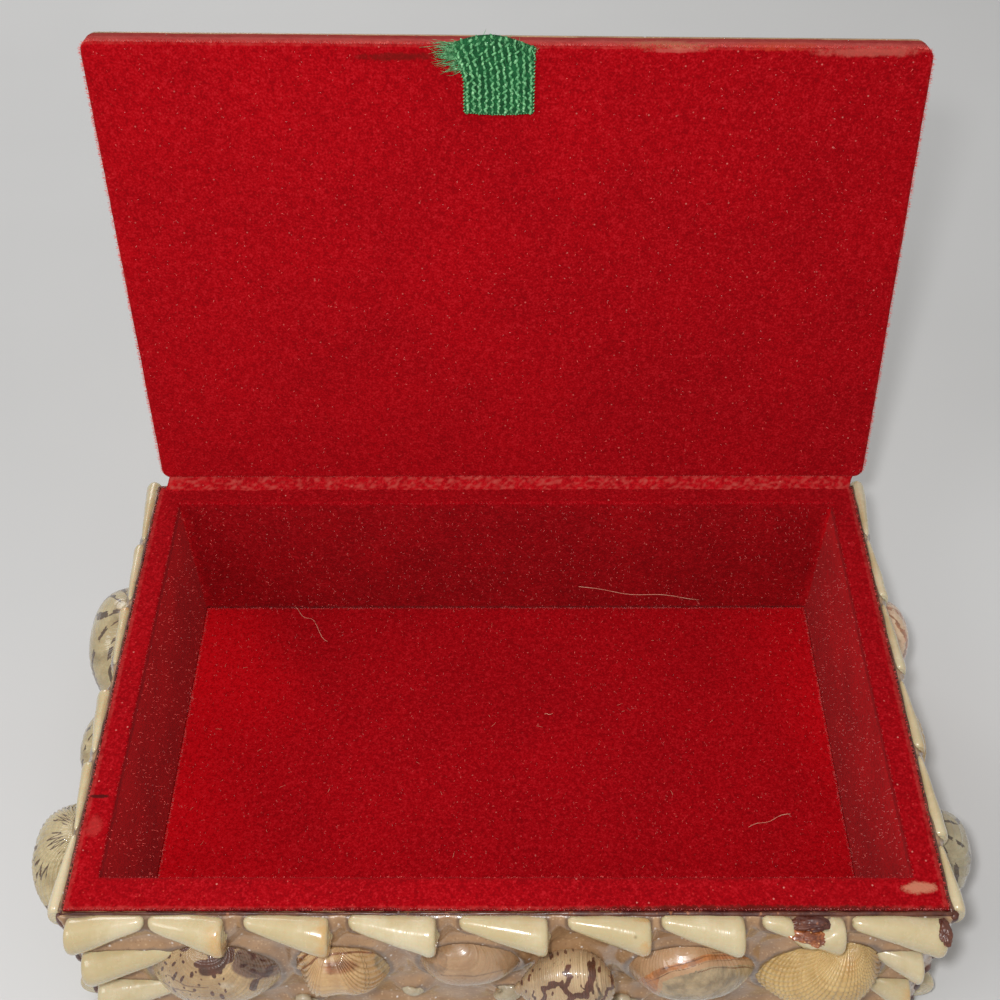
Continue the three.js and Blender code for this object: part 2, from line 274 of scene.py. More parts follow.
def start_material(name, **constants):
    """A new material; the constants are set on the shader's own sockets."""
    material = bpy.data.materials.new(name)
    material.use_nodes = True
    tree = material.node_tree
    shader = tree.nodes["Principled BSDF"]
    for key, value in constants.items():
        shader.inputs[key.replace("_", " ")].default_value = value
    return material, tree, shader


def feed(tree, shader, colour_from=None, roughness=None, height=None, strength=0.5, distance=0.0002,
         coat=None):
    if colour_from is not None:
        tree.links.new(colour_from, shader.inputs["Base Color"])
    if roughness is not None:
        tree.links.new(roughness, shader.inputs["Roughness"])
    if coat is not None:
        tree.links.new(coat, shader.inputs["Coat Weight"])
    if height is not None:
        bump = node(tree, "Bump", {"Height": height, "Strength": strength, "Distance": distance})
        tree.links.new(bump.outputs[0], shader.inputs["Normal"])


# ---- Materials ----

def cone_material():
    """Cream, polished and varnished, with faint bands, a few specks and a browner butt here and there."""
    material, tree, shader = start_material(
        "polished_cone", Coat_Weight=0.8, Coat_Roughness=0.06, Subsurface_Weight=0.12, Subsurface_Scale=0.002
    )
    growth = attribute(tree, "growth", "Vector")
    parts = node(tree, "SeparateXYZ", {0: growth}).outputs
    base = mottled(tree, 110.0, 0.16, colour(206, 192, 158), colour(188, 170, 128))
    # every shell has its own number, which shifts its tone
    own = node(tree, "TexWhiteNoise", {"W": parts[2]}, noise_dimensions="1D").outputs[0]
    own_tone = spread(tree, own, 0.0, 1.0, 0.0, 0.55)
    base = mixed(tree, own_tone, base, colour(190, 172, 130))
    lines = use_group(tree, GROWTH, {"Lines": 26.0, "Wander": 0.03})["Mask"]
    base = mixed(tree, maths(tree, "MULTIPLY", lines, 0.1), base, colour(186, 162, 114))
    # orange-brown stain towards the butt of some
    stained = maths(tree, "GREATER_THAN", own, 0.78)
    at_butt = spread(tree, parts[0], 0.7, 0.97)
    cloud = spread(tree, noise_at(tree, place_on(tree), 260.0), 0.45, 0.62)
    stain = maths(tree, "MULTIPLY", maths(tree, "MULTIPLY", stained, at_butt),
                  maths(tree, "MULTIPLY", cloud, 0.6))
    base = mixed(tree, stain, base, colour(196, 142, 66))
    base = mixed(tree, maths(tree, "MULTIPLY", specks(tree, 420.0, 0.05, 0.22), 0.7), base,
                 colour(120, 98, 62))
    # painted shade beside the shells, with old glue: a brown tone mixed in where the near attribute is high
    nook_shade_and_glue = use_group(tree, CREVICE_SHADE_AND_GLUE, {"Reach": 0.35, "Size": 500.0})["Mask"]
    base = mixed(tree, maths(tree, "MULTIPLY", nook_shade_and_glue, 0.75), base, colour(122, 92, 62))
    rough = spread(tree, noise_at(tree, place_on(tree), 700.0), 0.3, 0.7, 0.14, 0.3)
    ripple = maths(tree, "ADD", maths(tree, "MULTIPLY", lines, 0.3), noise_at(tree, place_on(tree), 420.0))
    feed(tree, shader, base, rough, ripple, strength=0.12)
    return material


def shell_material(name, ground, other, mark, second, third, lines=40.0, line_tone=None, relief=0.25):
    """A varnished shell: two ground tones, growth lines, and the marks attribute's three kinds of mark."""
    material, tree, shader = start_material(
        name, Coat_Weight=0.85, Coat_Roughness=0.05, Subsurface_Weight=0.06, Subsurface_Scale=0.001
    )
    base = mottled(tree, 190.0, 0.14, colour(*ground), colour(*other))
    grown = use_group(tree, GROWTH, {"Lines": lines, "Wander": 0.02})["Mask"]
    tone = colour(*(line_tone or other))
    base = mixed(tree, maths(tree, "MULTIPLY", grown, 0.45), base, tone)
    marks = node(tree, "SeparateXYZ", {0: attribute(tree, "marks", "Vector")}).outputs
    fleck = noise_at(tree, place_on(tree), 1500.0, detail=4.0, roughness=0.7)
    for share, paint in ((marks[1], second), (marks[2], third), (marks[0], mark)):
        ragged = maths(tree, "ADD", share, maths(tree, "MULTIPLY", maths(tree, "SUBTRACT", fleck, 0.5),
                                                 0.35))
        level = maths(tree, "MULTIPLY", spread(tree, ragged, 0.25, 0.7), 0.94)
        shade = mottled(tree, 420.0, 0.2, colour(*paint), colour(*(value * 0.72 for value in paint)))
        base = mixed(tree, level, base, shade)
    # painted shade beside the shells, with old glue: a dark brown tone mixed in where the near attribute is
    # high
    nook_shade_and_glue = use_group(tree, CREVICE_SHADE_AND_GLUE, {"Reach": 0.45, "Size": 420.0})["Mask"]
    base = mixed(tree, maths(tree, "MULTIPLY", nook_shade_and_glue, 0.6), base, colour(104, 80, 58))
    rough = spread(tree, noise_at(tree, place_on(tree), 900.0), 0.3, 0.7, 0.22, 0.42)
    height = maths(tree, "ADD", grown, noise_at(tree, place_on(tree), 1300.0))
    feed(tree, shader, base, rough, height, strength=relief)
    return material


def resin_material():
    """The lilac-tan resin bed: glossy, full of fine glitter with painted glints, browner in the crevices
    from painted shade and old glue.
    """
    material, tree, shader = start_material("glitter_resin", Coat_Weight=1.0, Coat_Roughness=0.05)
    base = mottled(tree, 90.0, 0.16, colour(170, 133, 96), colour(142, 106, 72))
    base = mixed(tree, specks(tree, 1500.0, 0.4, 0.5), base, colour(188, 154, 118))
    base = mixed(tree, specks(tree, 2100.0, 0.25, 0.45), base, colour(134, 100, 74))
    # painted shade beside the shells, with old glue: the resin painted dark brown where the near attribute
    # is high
    nook_shade_and_glue = use_group(tree, CREVICE_SHADE_AND_GLUE, {"Reach": 0.3, "Size": 260.0})["Mask"]
    base = mixed(tree, maths(tree, "MULTIPLY", nook_shade_and_glue, 0.88), base, colour(98, 72, 50))
    # painted glints: near-white specks painted into the resin's colour
    glint = specks(tree, 900.0, 0.1, 0.34)
    base = mixed(tree, glint, base, colour(240, 232, 226))
    rough = spread(tree, glint, 0.0, 1.0, 0.3, 0.08)
    sand = maths(tree, "ADD", noise_at(tree, place_on(tree), 1100.0, detail=4.0),
                 maths(tree, "MULTIPLY", glint, 0.8))
    feed(tree, shader, base, rough, sand, strength=0.4, distance=0.0003)
    return material


def wear_and_shade_patch_mask(tree, where, centre, size, ragged=1.1):
    """An oval patch with a broken edge, at a place on the piece in millimetres."""
    from_centre = node(tree, "Mapping", {"Vector": where, "Location": [-c / s for c, s in zip(centre, size)],
                                         "Scale": [1 / (s * MM) for s in size]}).outputs[0]
    reach = node(tree, "VectorMath", {0: from_centre}, operation="LENGTH").outputs["Value"]
    cloud = noise_at(tree, where, 420.0, detail=6.0, roughness=0.8)
    level = maths(tree, "ADD", reach, maths(tree, "MULTIPLY", maths(tree, "SUBTRACT", cloud, 0.5),
                                            2 * ragged))
    return spread(tree, level, 1.1, 0.5)


def velvet_material(name, bright, deep, patches=()):
    """Cotton velvet: its red painted lighter and darker as painted light and shade, fine pile, painted
    glints on the fibre ends, places of wear, and painted highlights on the lid's edges.

    Patches are (centre, size, colour, share) in the row frame's millimetres.
    """
    material, tree, shader = start_material(
        name, Roughness=1.0, Sheen_Weight=0.08, Sheen_Roughness=0.5, Sheen_Tint=(1.0, 0.3, 0.3, 1),
        Specular_IOR_Level=0.03
    )
    where = place_on(tree)
    # painted light and shade: the attribute read below mixes a shaded copy of the red into a lit one, and
    # past 1 an even brighter copy as painted highlight
    lit = mottled(tree, 45.0, 0.2, colour(*bright), colour(*(value * 0.94 for value in bright)))
    base = mixed(tree, attribute(tree, "painted_pile_light"), colour(*deep), lit)
    raised = colour(*(min(255, value * 1.5) for value in bright))
    base = mixed(tree, spread(tree, attribute(tree, "painted_pile_light"), 1.0, 1.5), base, raised)
    pile = noise_at(tree, where, 2300.0, detail=2.0)
    clumps = noise_at(tree, where, 800.0, detail=3.0)
    shade = maths(tree, "ADD", maths(tree, "MULTIPLY", pile, 0.65), maths(tree, "MULTIPLY", clumps, 0.35))
    base = mixed(tree, spread(tree, shade, 0.54, 0.36, 0.0, 0.4), base,
                 colour(*(value * 0.78 for value in deep)))
    brighter = colour(*(min(255, value + 30) for value in bright))
    base = mixed(tree, spread(tree, shade, 0.5, 0.68, 0.0, 0.4), base, brighter)
    # wear, and painted highlight on the lid's edges: both painted in the pale tone of bare pile
    wear_and_edge_light_mask = spread(tree, maths(tree, "ADD", attribute(tree, "wear_and_edge_light"),
                              maths(tree, "MULTIPLY", clumps, 0.5)), 0.35, 0.95)
    base = mixed(tree, wear_and_edge_light_mask, base, colour(*WEAR_AND_EDGE_LIGHT_TONE))
    for centre, size, paint, share in patches:
        mask = maths(tree, "MULTIPLY", wear_and_shade_patch_mask(tree, where, centre, size), share)
        base = mixed(tree, mask, base, colour(*paint))
    # painted highlights: glints of light painted on the fibre ends as bright specks, strongest where the
    # velvet is painted lit
    upright = spread(tree, attribute(tree, "painted_pile_light"), 1.0, 0.6, 0.3, 0.85)
    base = mixed(tree, maths(tree, "MULTIPLY", specks(tree, 1400.0, 0.11, 0.34), upright), base,
                 colour(206, 70, 64))
    base = mixed(tree, maths(tree, "MULTIPLY", specks(tree, 900.0, 0.04, 0.24), upright), base,
                 colour(240, 160, 148))
    bumps = maths(tree, "ADD", pile, maths(tree, "MULTIPLY", noise_at(tree, where, 600.0), 1.5))
    feed(tree, shader, base, None, bumps, strength=0.35, distance=0.0003)
    return material


def ribbon_material():
    material, tree, shader = start_material("knitted_ribbon", Roughness=0.85, Specular_IOR_Level=0.2)
    base = mottled(tree, 400.0, 0.2, colour(28, 92, 52), colour(14, 60, 32))
    twist = noise_at(tree, place_on(tree), 2600.0, detail=3.0)
    base = mixed(tree, spread(tree, twist, 0.55, 0.75), base, colour(40, 116, 66))
    feed(tree, shader, base, None, twist, strength=0.7, distance=0.0003)
    return material


def lit_stitch_material():
    """The ribbon's stitches, painted lighter and shinier than the ribbon as painted highlight on the raised
    loops.
    """
    material, tree, shader = start_material("ribbon_stitches")
    base = mottled(tree, 1500.0, 0.1, colour(112, 182, 124), colour(46, 122, 70))
    # painted glints: pale specks painted on the loops
    base = mixed(tree, specks(tree, 1900.0, 0.3, 0.5), base, colour(176, 226, 176))
    rough = spread(tree, noise_at(tree, place_on(tree), 2000.0), 0.3, 0.7, 0.35, 0.7)
    feed(tree, shader, base, rough, noise_at(tree, place_on(tree), 3600.0), strength=0.4)
    return material


def lacquer_material():
    """Dark red-brown lacquer, run along the joints and chipped in places."""
    material, tree, shader = start_material("brown_lacquer", Coat_Weight=0.25, Coat_Roughness=0.2)
    base = mottled(tree, 240.0, 0.14, colour(98, 52, 34), colour(66, 26, 20))
    base = mixed(tree, spread(tree, noise_at(tree, place_on(tree), 900.0, detail=5.0), 0.6, 0.72), base,
                 colour(150, 92, 62))
    rough = spread(tree, noise_at(tree, place_on(tree), 500.0), 0.3, 0.7, 0.25, 0.55)
    feed(tree, shader, base, rough, noise_at(tree, place_on(tree), 1500.0, detail=4.0), strength=0.5)
    return material


def glue_material():
    material, tree, shader = start_material("amber_glue", Coat_Weight=0.9, Coat_Roughness=0.08)
    base = mottled(tree, 520.0, 0.16, colour(190, 108, 44), colour(110, 52, 24))
    base = mixed(tree, specks(tree, 1600.0, 0.2, 0.4), base, colour(232, 176, 110))
    rough = spread(tree, noise_at(tree, place_on(tree), 800.0), 0.3, 0.7, 0.2, 0.5)
    feed(tree, shader, base, rough, noise_at(tree, place_on(tree), 1700.0, detail=4.0), strength=0.7)
    return material


def board_material():
    """Bare softwood boards: long grain, a few darker streaks, scuffs."""
    material, tree, shader = start_material("bare_board")
    long_grain = node(tree, "Mapping", {"Vector": place_on(tree), "Scale": (18.0, 260.0, 260.0)}).outputs[0]
    grain = noise_at(tree, long_grain, 1.0, detail=6.0, roughness=0.6)
    base = mixed(tree, spread(tree, grain, 0.35, 0.65), colour(186, 148, 104), colour(142, 102, 64))
    base = mixed(tree, spread(tree, noise_at(tree, place_on(tree), 30.0), 0.55, 0.75, 0.0, 0.5), base,
                 colour(112, 84, 60))
    rough = spread(tree, grain, 0.3, 0.7, 0.6, 0.85)
    feed(tree, shader, base, rough, grain, strength=0.4)
    return material


def fuzz_material(name, tone, tip_tone):
    material, tree, shader = start_material(name, Roughness=0.9, Sheen_Weight=0.4)
    feed(tree, shader, mottled(tree, 700.0, 0.12, colour(*tone), colour(*tip_tone)))
    return material


def lint_material():
    material, tree, shader = start_material("pale_lint", Roughness=0.7)
    feed(tree, shader, mottled(tree, 500.0, 0.2, colour(214, 120, 100), colour(228, 176, 150)))
    return material


# ---- Mesh helpers ----

def new_layers(bm):
    return bm.verts.layers.float_vector.new("growth"), bm.verts.layers.float_vector.new("marks")


def grid_form(columns, rows, place):
    """A grid whose vertices go where place(across, along) says; both run from 0 to 1."""
    bm = bmesh.new()
    growth, _ = new_layers(bm)
    bmesh.ops.create_grid(bm, x_segments=columns, y_segments=rows, size=1)
    for v in bm.verts:
        across, along = (v.co.x + 1) / 2, (v.co.y + 1) / 2
        v[growth] = Vector((along, across, 0))
        v.co = place(across, along)
    return bm


def weld(bm, distance=0.001):
    bmesh.ops.remove_doubles(bm, verts=bm.verts, dist=distance)
    bmesh.ops.dissolve_degenerate(bm, edges=bm.edges, dist=distance / 10)
    bmesh.ops.recalc_face_normals(bm, faces=bm.faces)


def close_openings(bm):
    bmesh.ops.holes_fill(bm, edges=[e for e in bm.edges if e.is_boundary], sides=0)
    bmesh.ops.recalc_face_normals(bm, faces=bm.faces)


def close_back(bm, depth):
    """Runs the open edge of a form straight back to the depth given, and closes it there."""
    rim = [e for e in bm.edges if e.is_boundary]
    made = bmesh.ops.extrude_edge_only(bm, edges=rim)["geom"]
    for v in made:
        if isinstance(v, bmesh.types.BMVert):
            v.co.z = depth
    close_openings(bm)


def tube(bm, points, radii, sides=6):
    """Adds a closed round tube along the points, with a radius at each."""
    layer = bm.verts.layers.float_vector["growth"]
    rings = []
    for i, point in enumerate(points):
        ahead = (points[min(i + 1, len(points) - 1)] - points[max(i - 1, 0)]).normalized()
        side = side - ahead * side.dot(ahead) if rings else ahead.orthogonal()
        side.normalize()
        other = ahead.cross(side)
        ring = []
        for k in range(sides):
            angle = 2 * pi * k / sides
            ring.append(bm.verts.new(point + (side * cos(angle) + other * sin(angle)) * radii[i]))
            ring[-1][layer] = Vector((i / (len(points) - 1), k / sides, 0))
        rings.append(ring)
    for first, second in zip(rings, rings[1:]):
        for k in range(sides):
            bm.faces.new((first[k], first[(k + 1) % sides], second[(k + 1) % sides], second[k]))
    bm.faces.new(rings[0][::-1])
    bm.faces.new(rings[-1])


def spike(bm, root, tip, width):
    """Adds one fibre: a slim three-sided spike."""
    side = (tip - root).orthogonal().normalized() * width / 2
    turn = Matrix.Rotation(2 * pi / 3, 3, tip - root)
    base = []
    for _ in range(3):
        base.append(bm.verts.new(root + side))
        side = turn @ side
    top = bm.verts.new(tip)
    for k in range(3):
        bm.faces.new((base[k], base[(k + 1) % 3], top))
    bm.faces.new(base[::-1])


def make_piece(bm, name, matrix, material, body=None, replaces=(), smooth=True):
    """Turns a form in a face's millimetres into a finished piece in the row frame."""
    out_of_square(bm, matrix)
    bm.transform(matrix)
    mesh = bpy.data.meshes.new(name)
    bm.to_mesh(mesh)
    bm.free()
    if smooth:
        mesh.shade_smooth()
    mesh.materials.append(material)
    obj = bpy.data.objects.new(name, mesh)
    bpy.context.scene.collection.objects.link(obj)
    if body:
        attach(obj, body)
    if replaces:
        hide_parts(*replaces)
    return obj


def drift(point, scale, seed=0.0):
    """Smooth noise, from -1 to 1, at a point in millimetres."""
    return noise.noise(point * scale + Vector((seed * 7.3, seed * 1.9, seed * 4.1)))


# ---- Shells ----

SUNK = -0.6  # how far a shell's back goes into the resin
shells_on = {name: [] for name in FACES}


def set_on(face, bm, name, material, replaces=()):
    """Finishes a shell piece on a face, and remembers its form for the resin round it."""
    shells_on[face].append(BVHTree.FromBMesh(bm))
    return make_piece(bm, name, FACES[face], material, BODIES[face], replaces)


CONE_TIP = 0.3  # the blunt tip's share of the widest radius
CONE_WIDEST = 0.9  # how far along the cone is widest


def cone_radius(along):
    """The cone's side, as a share of its widest radius."""
    share = min(along / CONE_WIDEST, 1.0)
    return CONE_TIP + (1 - CONE_TIP) * share ** 0.86


def cone_mesh():
    """A cone shell of unit size along X: blunt tip, bowed sides, round shoulder, low stepped spire."""
    tip = [(0.0, 0.0), (0.0, 0.12), (0.008, 0.2), (0.024, 0.27)]
    sides = [(x, cone_radius(x)) for x in (0.05, 0.1, 0.17, 0.25, 0.33, 0.42, 0.51, 0.6, 0.69, 0.77,
                                           0.84, 0.9)]
    shoulder = [(0.93, 0.998), (0.955, 0.98), (0.975, 0.94), (0.989, 0.88), (0.997, 0.8)]
    spire = [(0.998, 0.72), (0.994, 0.66), (1.004, 0.6), (1.006, 0.47), (1.002, 0.43), (1.014, 0.38),
             (1.018, 0.24),
             (1.014, 0.21), (1.03, 0.14), (1.036, 0.0)]
    bm = bmesh.new()
    growth, _ = new_layers(bm)
    verts = [bm.verts.new((x, 0, -out)) for x, out in tip + sides + shoulder + spire]
    edges = [bm.edges.new(pair) for pair in zip(verts, verts[1:])]
    bmesh.ops.spin(bm, geom=verts + edges, cent=(0, 0, 0), axis=(1, 0, 0), angle=2 * pi, steps=40,
                   use_merge=True)
    weld(bm, 1e-5)
    for v in bm.verts:
        around = math.atan2(v.co.y, v.co.z) / (2 * pi) + 0.5
        v[growth] = Vector((min(v.co.x, 1.0), around, 0))
    mesh = bpy.data.meshes.new("unit_cone")
    bm.to_mesh(mesh)
    bm.free()
    return mesh


UNIT_CONE = cone_mesh()
cone_number = 0


def add_cone(bm, tip, butt, level, radius=3.9, flip=1, tilt=0.0, stands=1.0):
    """Adds a cone lying along a face.

    Its level edge is up, or down where flip is -1. Stands is how far it stands out.
    """
    global cone_number
    cone_number += 1
    rng = random.Random(cone_number * 31)
    growth = bm.verts.layers.float_vector["growth"]
    start = len(bm.verts)
    bm.from_mesh(UNIT_CONE)
    bm.verts.ensure_lookup_table()
    deep = rng.uniform(0.9, 1.02)
    lean = rng.uniform(-0.25, 0.25)
    bow = rng.uniform(0.1, 0.45)
    turn = Matrix.Rotation(radians(tilt), 3, "Z")
    pivot = Vector((butt, level - flip * radius, 0))
    for v in bm.verts[start:]:
        along, side, out = v.co
        here = cone_radius(min(max(along, 0.0), 1.0))
        x = tip + (butt - tip) * along
        y = level + flip * (radius * (side - here) - bow * (1 - sin(pi * min(along, 1.0))))
        z = stands * (radius * (0.54 * here + out * deep) + lean * side)
        point = Vector((x, y, z))
        out_of_axis = Vector((0, side, out))
        point += out_of_axis * drift(point, 0.22, cone_number) * 0.28
        point = pivot + turn @ (point - pivot)
        point.z = max(point.z, SUNK)
        v.co = point
        v[growth] = Vector((v[growth].x, v[growth].y, cone_number))
    bmesh.ops.recalc_face_normals(bm, faces=bm.faces)


def cone_bed():
    bm = bmesh.new()
    new_layers(bm)
    bm.verts.layers.float.new("near")
    return bm


def butt_is_right(node_name, matrix):
    """A cone stands furthest out near its butt."""
    low, high = local_box(node_name, matrix)
    to_face = matrix.inverted()
    points = [to_face @ v.co for v in frame["nodes"][node_name].data.vertices]
    return max(points, key=lambda p: p.z).x > (low.x + high.x) / 2


def bite(bm, across, out, depth):
    """Breaks a piece out of the top of a shell, between the limits given across it and out from the bed."""
    middle = ((across[0] + across[1]) / 2, (out[0] + out[1]) / 2)
    size = ((across[1] - across[0]) / 2, (out[1] - out[0]) / 2)
    top = max(v.co.y for v in bm.verts)
    for v in bm.verts:
        ragged = (drift(v.co, 1.1) * 0.5, drift(v.co, 1.3, 2.0) * 0.5)
        reach = hypot((v.co.x - middle[0] + ragged[0]) / size[0], (v.co.z - middle[1] + ragged[1]) / size[1])
        if reach < 1 and v.co.y > top - 4:
            v.co.y -= depth * min(1.0, (1 - reach) * 4)


def top_cones(face, names, material, stands=1.0):
    for name in names:
        low, high = local_box(name, FACES[face])
        ends = (low.x, high.x) if butt_is_right(name, FACES[face]) else (high.x, low.x)
        bm = cone_bed()
        add_cone(bm, ends[0], ends[1] - (ends[1] - ends[0]) * 0.03, high.y, (high.y - low.y) / 2 * 1.02,
                 stands=stands)
        set_on(face, bm, name.replace("_top_cone", "_rim_cone"), material, [name])


def cone_row(face, name, count, start, end, level, material, flip=1, replaces=(), turned=None, backwards=()):
    """A row of cones from start to end, tips to the left but for those that lie backwards, as one piece."""
    bm = cone_bed()
    pitch = (end - start) / count
    rng = random.Random(name)
    for i in range(count):
        tip = start + i * pitch + rng.uniform(0.1, 0.6)
        butt = start + (i + 1) * pitch - rng.uniform(0.5, 1.3)
        if i in backwards:
            tip, butt = butt, tip
        add_cone(bm, tip, butt, level, rng.uniform(3.6, 4.0), flip, rng.uniform(-1.5, 1.5))
    if turned:
        bmesh.ops.transform(bm, matrix=turned, verts=bm.verts)
    return set_on(face, bm, name, material, replaces)


def bivalve(columns, rows, curl=100.0, skew=0.0, squared=0.12, blunt=0.8):
    """A half shell, open side down, 2 by 2 across, its ribs fanning down from the umbo at the top."""
    def place(across, along):
        angle = 2 * pi * across
        side = math.copysign(abs(sin(angle)) ** blunt, sin(angle))
        x = side * (1 - squared * cos(angle)) + skew * (1 - cos(angle)) / 2
        y = cos(angle) - 1
        lean = radians(curl) * (1 - along)
        return Vector((x * along, y * along * cos(lean), -y * along * sin(lean)))

    return grid_form(columns, rows, place)


def stretch_over(bm, low, high, turn=0.0):
    """Turns a form on its face and stretches it over a box, its open edge at the bed."""
    bmesh.ops.rotate(bm, verts=bm.verts, cent=(0, 0, 0), matrix=Matrix.Rotation(radians(turn), 3, "Z"))
    least = Vector([min(v.co[i] for v in bm.verts) for i in range(3)])
    most = Vector([max(v.co[i] for v in bm.verts) for i in range(3)])
    for v in bm.verts:
        share = [(v.co[i] - least[i]) / (most[i] - least[i]) for i in range(3)]
        v.co = Vector([low[i] + (high[i] - low[i]) * share[i] for i in range(3)])


def places_on(bm, low, high, slant=0.0):
    """Each vertex's place on its shell, -1 to 1 both ways. Slant tips the shell first, in degrees."""
    def up(v):
        return v.co.y * cos(radians(slant)) - v.co.z * sin(radians(slant))

    least, most = min(up(v) for v in bm.verts), max(up(v) for v in bm.verts)
    places = []
    for v in bm.verts:
        x = 2 * (v.co.x - low.x) / (high.x - low.x) - 1
        y = 2 * (up(v) - least) / (most - least) - 1
        wander = noise.noise_vector(Vector((x * 4, y * 4, low.x)))
        places.append(Vector((x + wander.x * 0.04, y + wander.y * 0.04)))
    return places


def relieve(bm, height, places):
    """Raises a form's surface along its own normals by height(along, across, point, place)."""
    growth = bm.verts.layers.float_vector["growth"]
    bm.normal_update()
    shifts = [v.normal * height(v[growth].x, v[growth].y, v.co, place) for v, place in zip(bm.verts, places)]
    for v, shift in zip(bm.verts, shifts):
        v.co += shift


def paint(bm, marks, places, seed):
    """Fills in the marks attribute from marks(along, across, place)."""
    growth = bm.verts.layers.float_vector["growth"]
    layer = bm.verts.layers.float_vector["marks"]
    for v, place in zip(bm.verts, places):
        v[layer] = Vector(marks(v[growth].x, v[growth].y, place))
        v[growth] = Vector((v[growth].x, v[growth].y, seed))


def stroke(place, points, width, stretch=1.65, soft=0.4):
    """1 inside a drawn line and 0 outside. Stretch is the shell's width over its height."""
    spot = Vector((place.x * stretch, place.y))
    nearest = 9.0
    for start, end in zip(points, points[1:]):
        a, b = Vector((start[0] * stretch, start[1])), Vector((end[0] * stretch, end[1]))
        share = min(1.0, max(0.0, (spot - a).dot(b - a) / (b - a).length_squared))
        nearest = min(nearest, (spot - a.lerp(b, share)).length)
    return min(1.0, max(0.0, (1 - nearest / width) / soft))


def oval(place, centre, size, turn=0.0, soft=0.3):
    """How far inside an oval mark a place is: 1 inside, 0 outside."""
    d = Vector((place.x - centre[0], place.y - centre[1]))
    d.rotate(Matrix.Rotation(radians(-turn), 2))
    return min(1.0, max(0.0, (1 - hypot(d.x / size[0], d.y / size[1])) / soft))


def saw(value):
    """A wave from 0 up to 1 and back, once for each whole number."""
    return 1 - abs(2 * (value % 1.0) - 1)


def ribs(count, depth, beads=0, bead_depth=0.0):
    """Rounded ribs fanning from the umbo, with beads along them."""
    def height(along, across, _, place):
        rib = abs(sin(pi * count * across)) ** 0.7 - 0.5
        bead = sin(2 * pi * beads * along) if beads else 0.0
        grown = min(1.0, along * 2.2)
        return grown * (depth * rib + bead_depth * bead * (rib + 0.5))

    return height


def rings(count, depth):
    """Ridges left by growth, steeper on the outer side."""
    def height(along, across, point, place):
        wave = (along * count + 0.15 * drift(point, 0.2)) % 1.0
        return depth * (wave ** 2 - 0.4) * min(1.0, along * 3)

    return height


def both(*heights):
    return lambda *where: sum(height(*where) for height in heights)


def unmarked(along, across, place):
    return (0.0, 0.0, 0.0)


def half_shell(face, node_name, name, material, relief, marks=unmarked, turn=0.0, curl=100.0, skew=0.0,
               fine=(150, 64), seed=1.0, squared=0.12, slant=0.0, blunt=0.8, grow=(1.0, 1.0),
               move=(0.0, 0.0), stands=1.0):
    """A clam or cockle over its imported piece's box, grown about its middle and moved a little."""
    low, high = local_box(node_name, FACES[face])
    for i in range(2):
        middle, half = (low[i] + high[i]) / 2 + move[i], (high[i] - low[i]) / 2 * grow[i]
        low[i], high[i] = middle - half, middle + half
    low.z, high.z = 0.0, high.z * stands
    bm = bivalve(fine[0], fine[1], curl, skew, squared, blunt)
    stretch_over(bm, low, high, turn)
    places = places_on(bm, low, high, slant)
    relieve(bm, relief, places)
    paint(bm, marks, places, seed)
    weld(bm)
    close_back(bm, SUNK)
    return set_on(face, bm, name, material, [node_name])


# ---- Marks on the shells ----

def flecks(place, rows, columns, slope, seed):
    """Small broken dashes in slanting rows, from none to large."""
    row = (place.x * slope + place.y) * rows
    column = place.x * columns + 0.5 * math.floor(row)
    size = noise.noise(Vector((math.floor(column) * 1.7 + 0.3, math.floor(row) * 2.3 + 0.4, seed)))
    reach = hypot((column % 1.0 - 0.5) * 1.2, (row % 1.0 - 0.5) * 0.8)
    return min(1.0, max(0.0, (0.2 + 0.5 * size - reach) / 0.14))


def spotted_marks(along, across, place):
    """Dots on the left, a horned blotch in the middle, and a lilac right side under a scalloped line."""
    dots = [(-0.33, 0.67, 0.09, 0.16), (-0.52, 0.64, 0.05, 0.13), (-0.57, 0.42, 0.05, 0.1),
            (-0.81, 0.38, 0.05, 0.12),
            (-0.95, 0.14, 0.05, 0.13), (-0.47, 0.2, 0.04, 0.1), (-0.46, -0.16, 0.04, 0.18),
            (-0.34, -0.24, 0.03, 0.13),
            (-0.2, -0.1, 0.04, 0.12), (-0.68, 0.06, 0.03, 0.09), (-0.1, 0.62, 0.03, 0.1)]
    dark = max(oval(place, (x, y), (w, h), -12, 0.45) for x, y, w, h in dots)
    blotch = max(
        oval(place, (0.09, 0.14), (0.19, 0.36), -18), oval(place, (0.03, 0.55), (0.05, 0.3), 10),
        oval(place, (-0.05, 0.2), (0.13, 0.14)), oval(place, (0.24, 0.3), (0.1, 0.14)),
        oval(place, (0.33, 0.46), (0.07, 0.26)),
    )
    scallop = stroke(place, [(0.33, 0.66), (0.47, 0.76), (0.6, 0.72), (0.78, 0.74), (0.9, 0.56), (0.97, 0.3),
                             (0.86, 0.1), (0.7, -0.2), (0.56, -0.52)], 0.07 + 0.05 * sin(34 * place.x),
                     soft=0.6)
    dashes = stroke(place, [(-0.8, -0.3), (-0.5, -0.5), (-0.2, -0.6)], 0.05, soft=0.9)
    dashes = max(dashes, stroke(place, [(-0.6, -0.1), (-0.3, -0.42), (0.0, -0.5)], 0.04, soft=0.9))
    lilac = oval(place, (0.66, 0.25), (0.4, 0.6), 0, 0.4)
    pale = oval(place, (0.28, -0.42), (0.22, 0.26), 20, 0.8)
    small = flecks(place, 5.5, 8.0, 0.5, 2.0) * (1.0 if place.x < 0.25 else 0.3)
    rough = lilac * max(0.0, noise.noise(Vector((place.x * 9, place.y * 7, 3.0)))) * 2.2
    dark = max(dark * 0.9, blotch, scallop * 0.8, dashes * 0.6, small * 0.85, min(0.9, rough))
    return (dark, lilac * (1 - blotch), pale * 0.6)


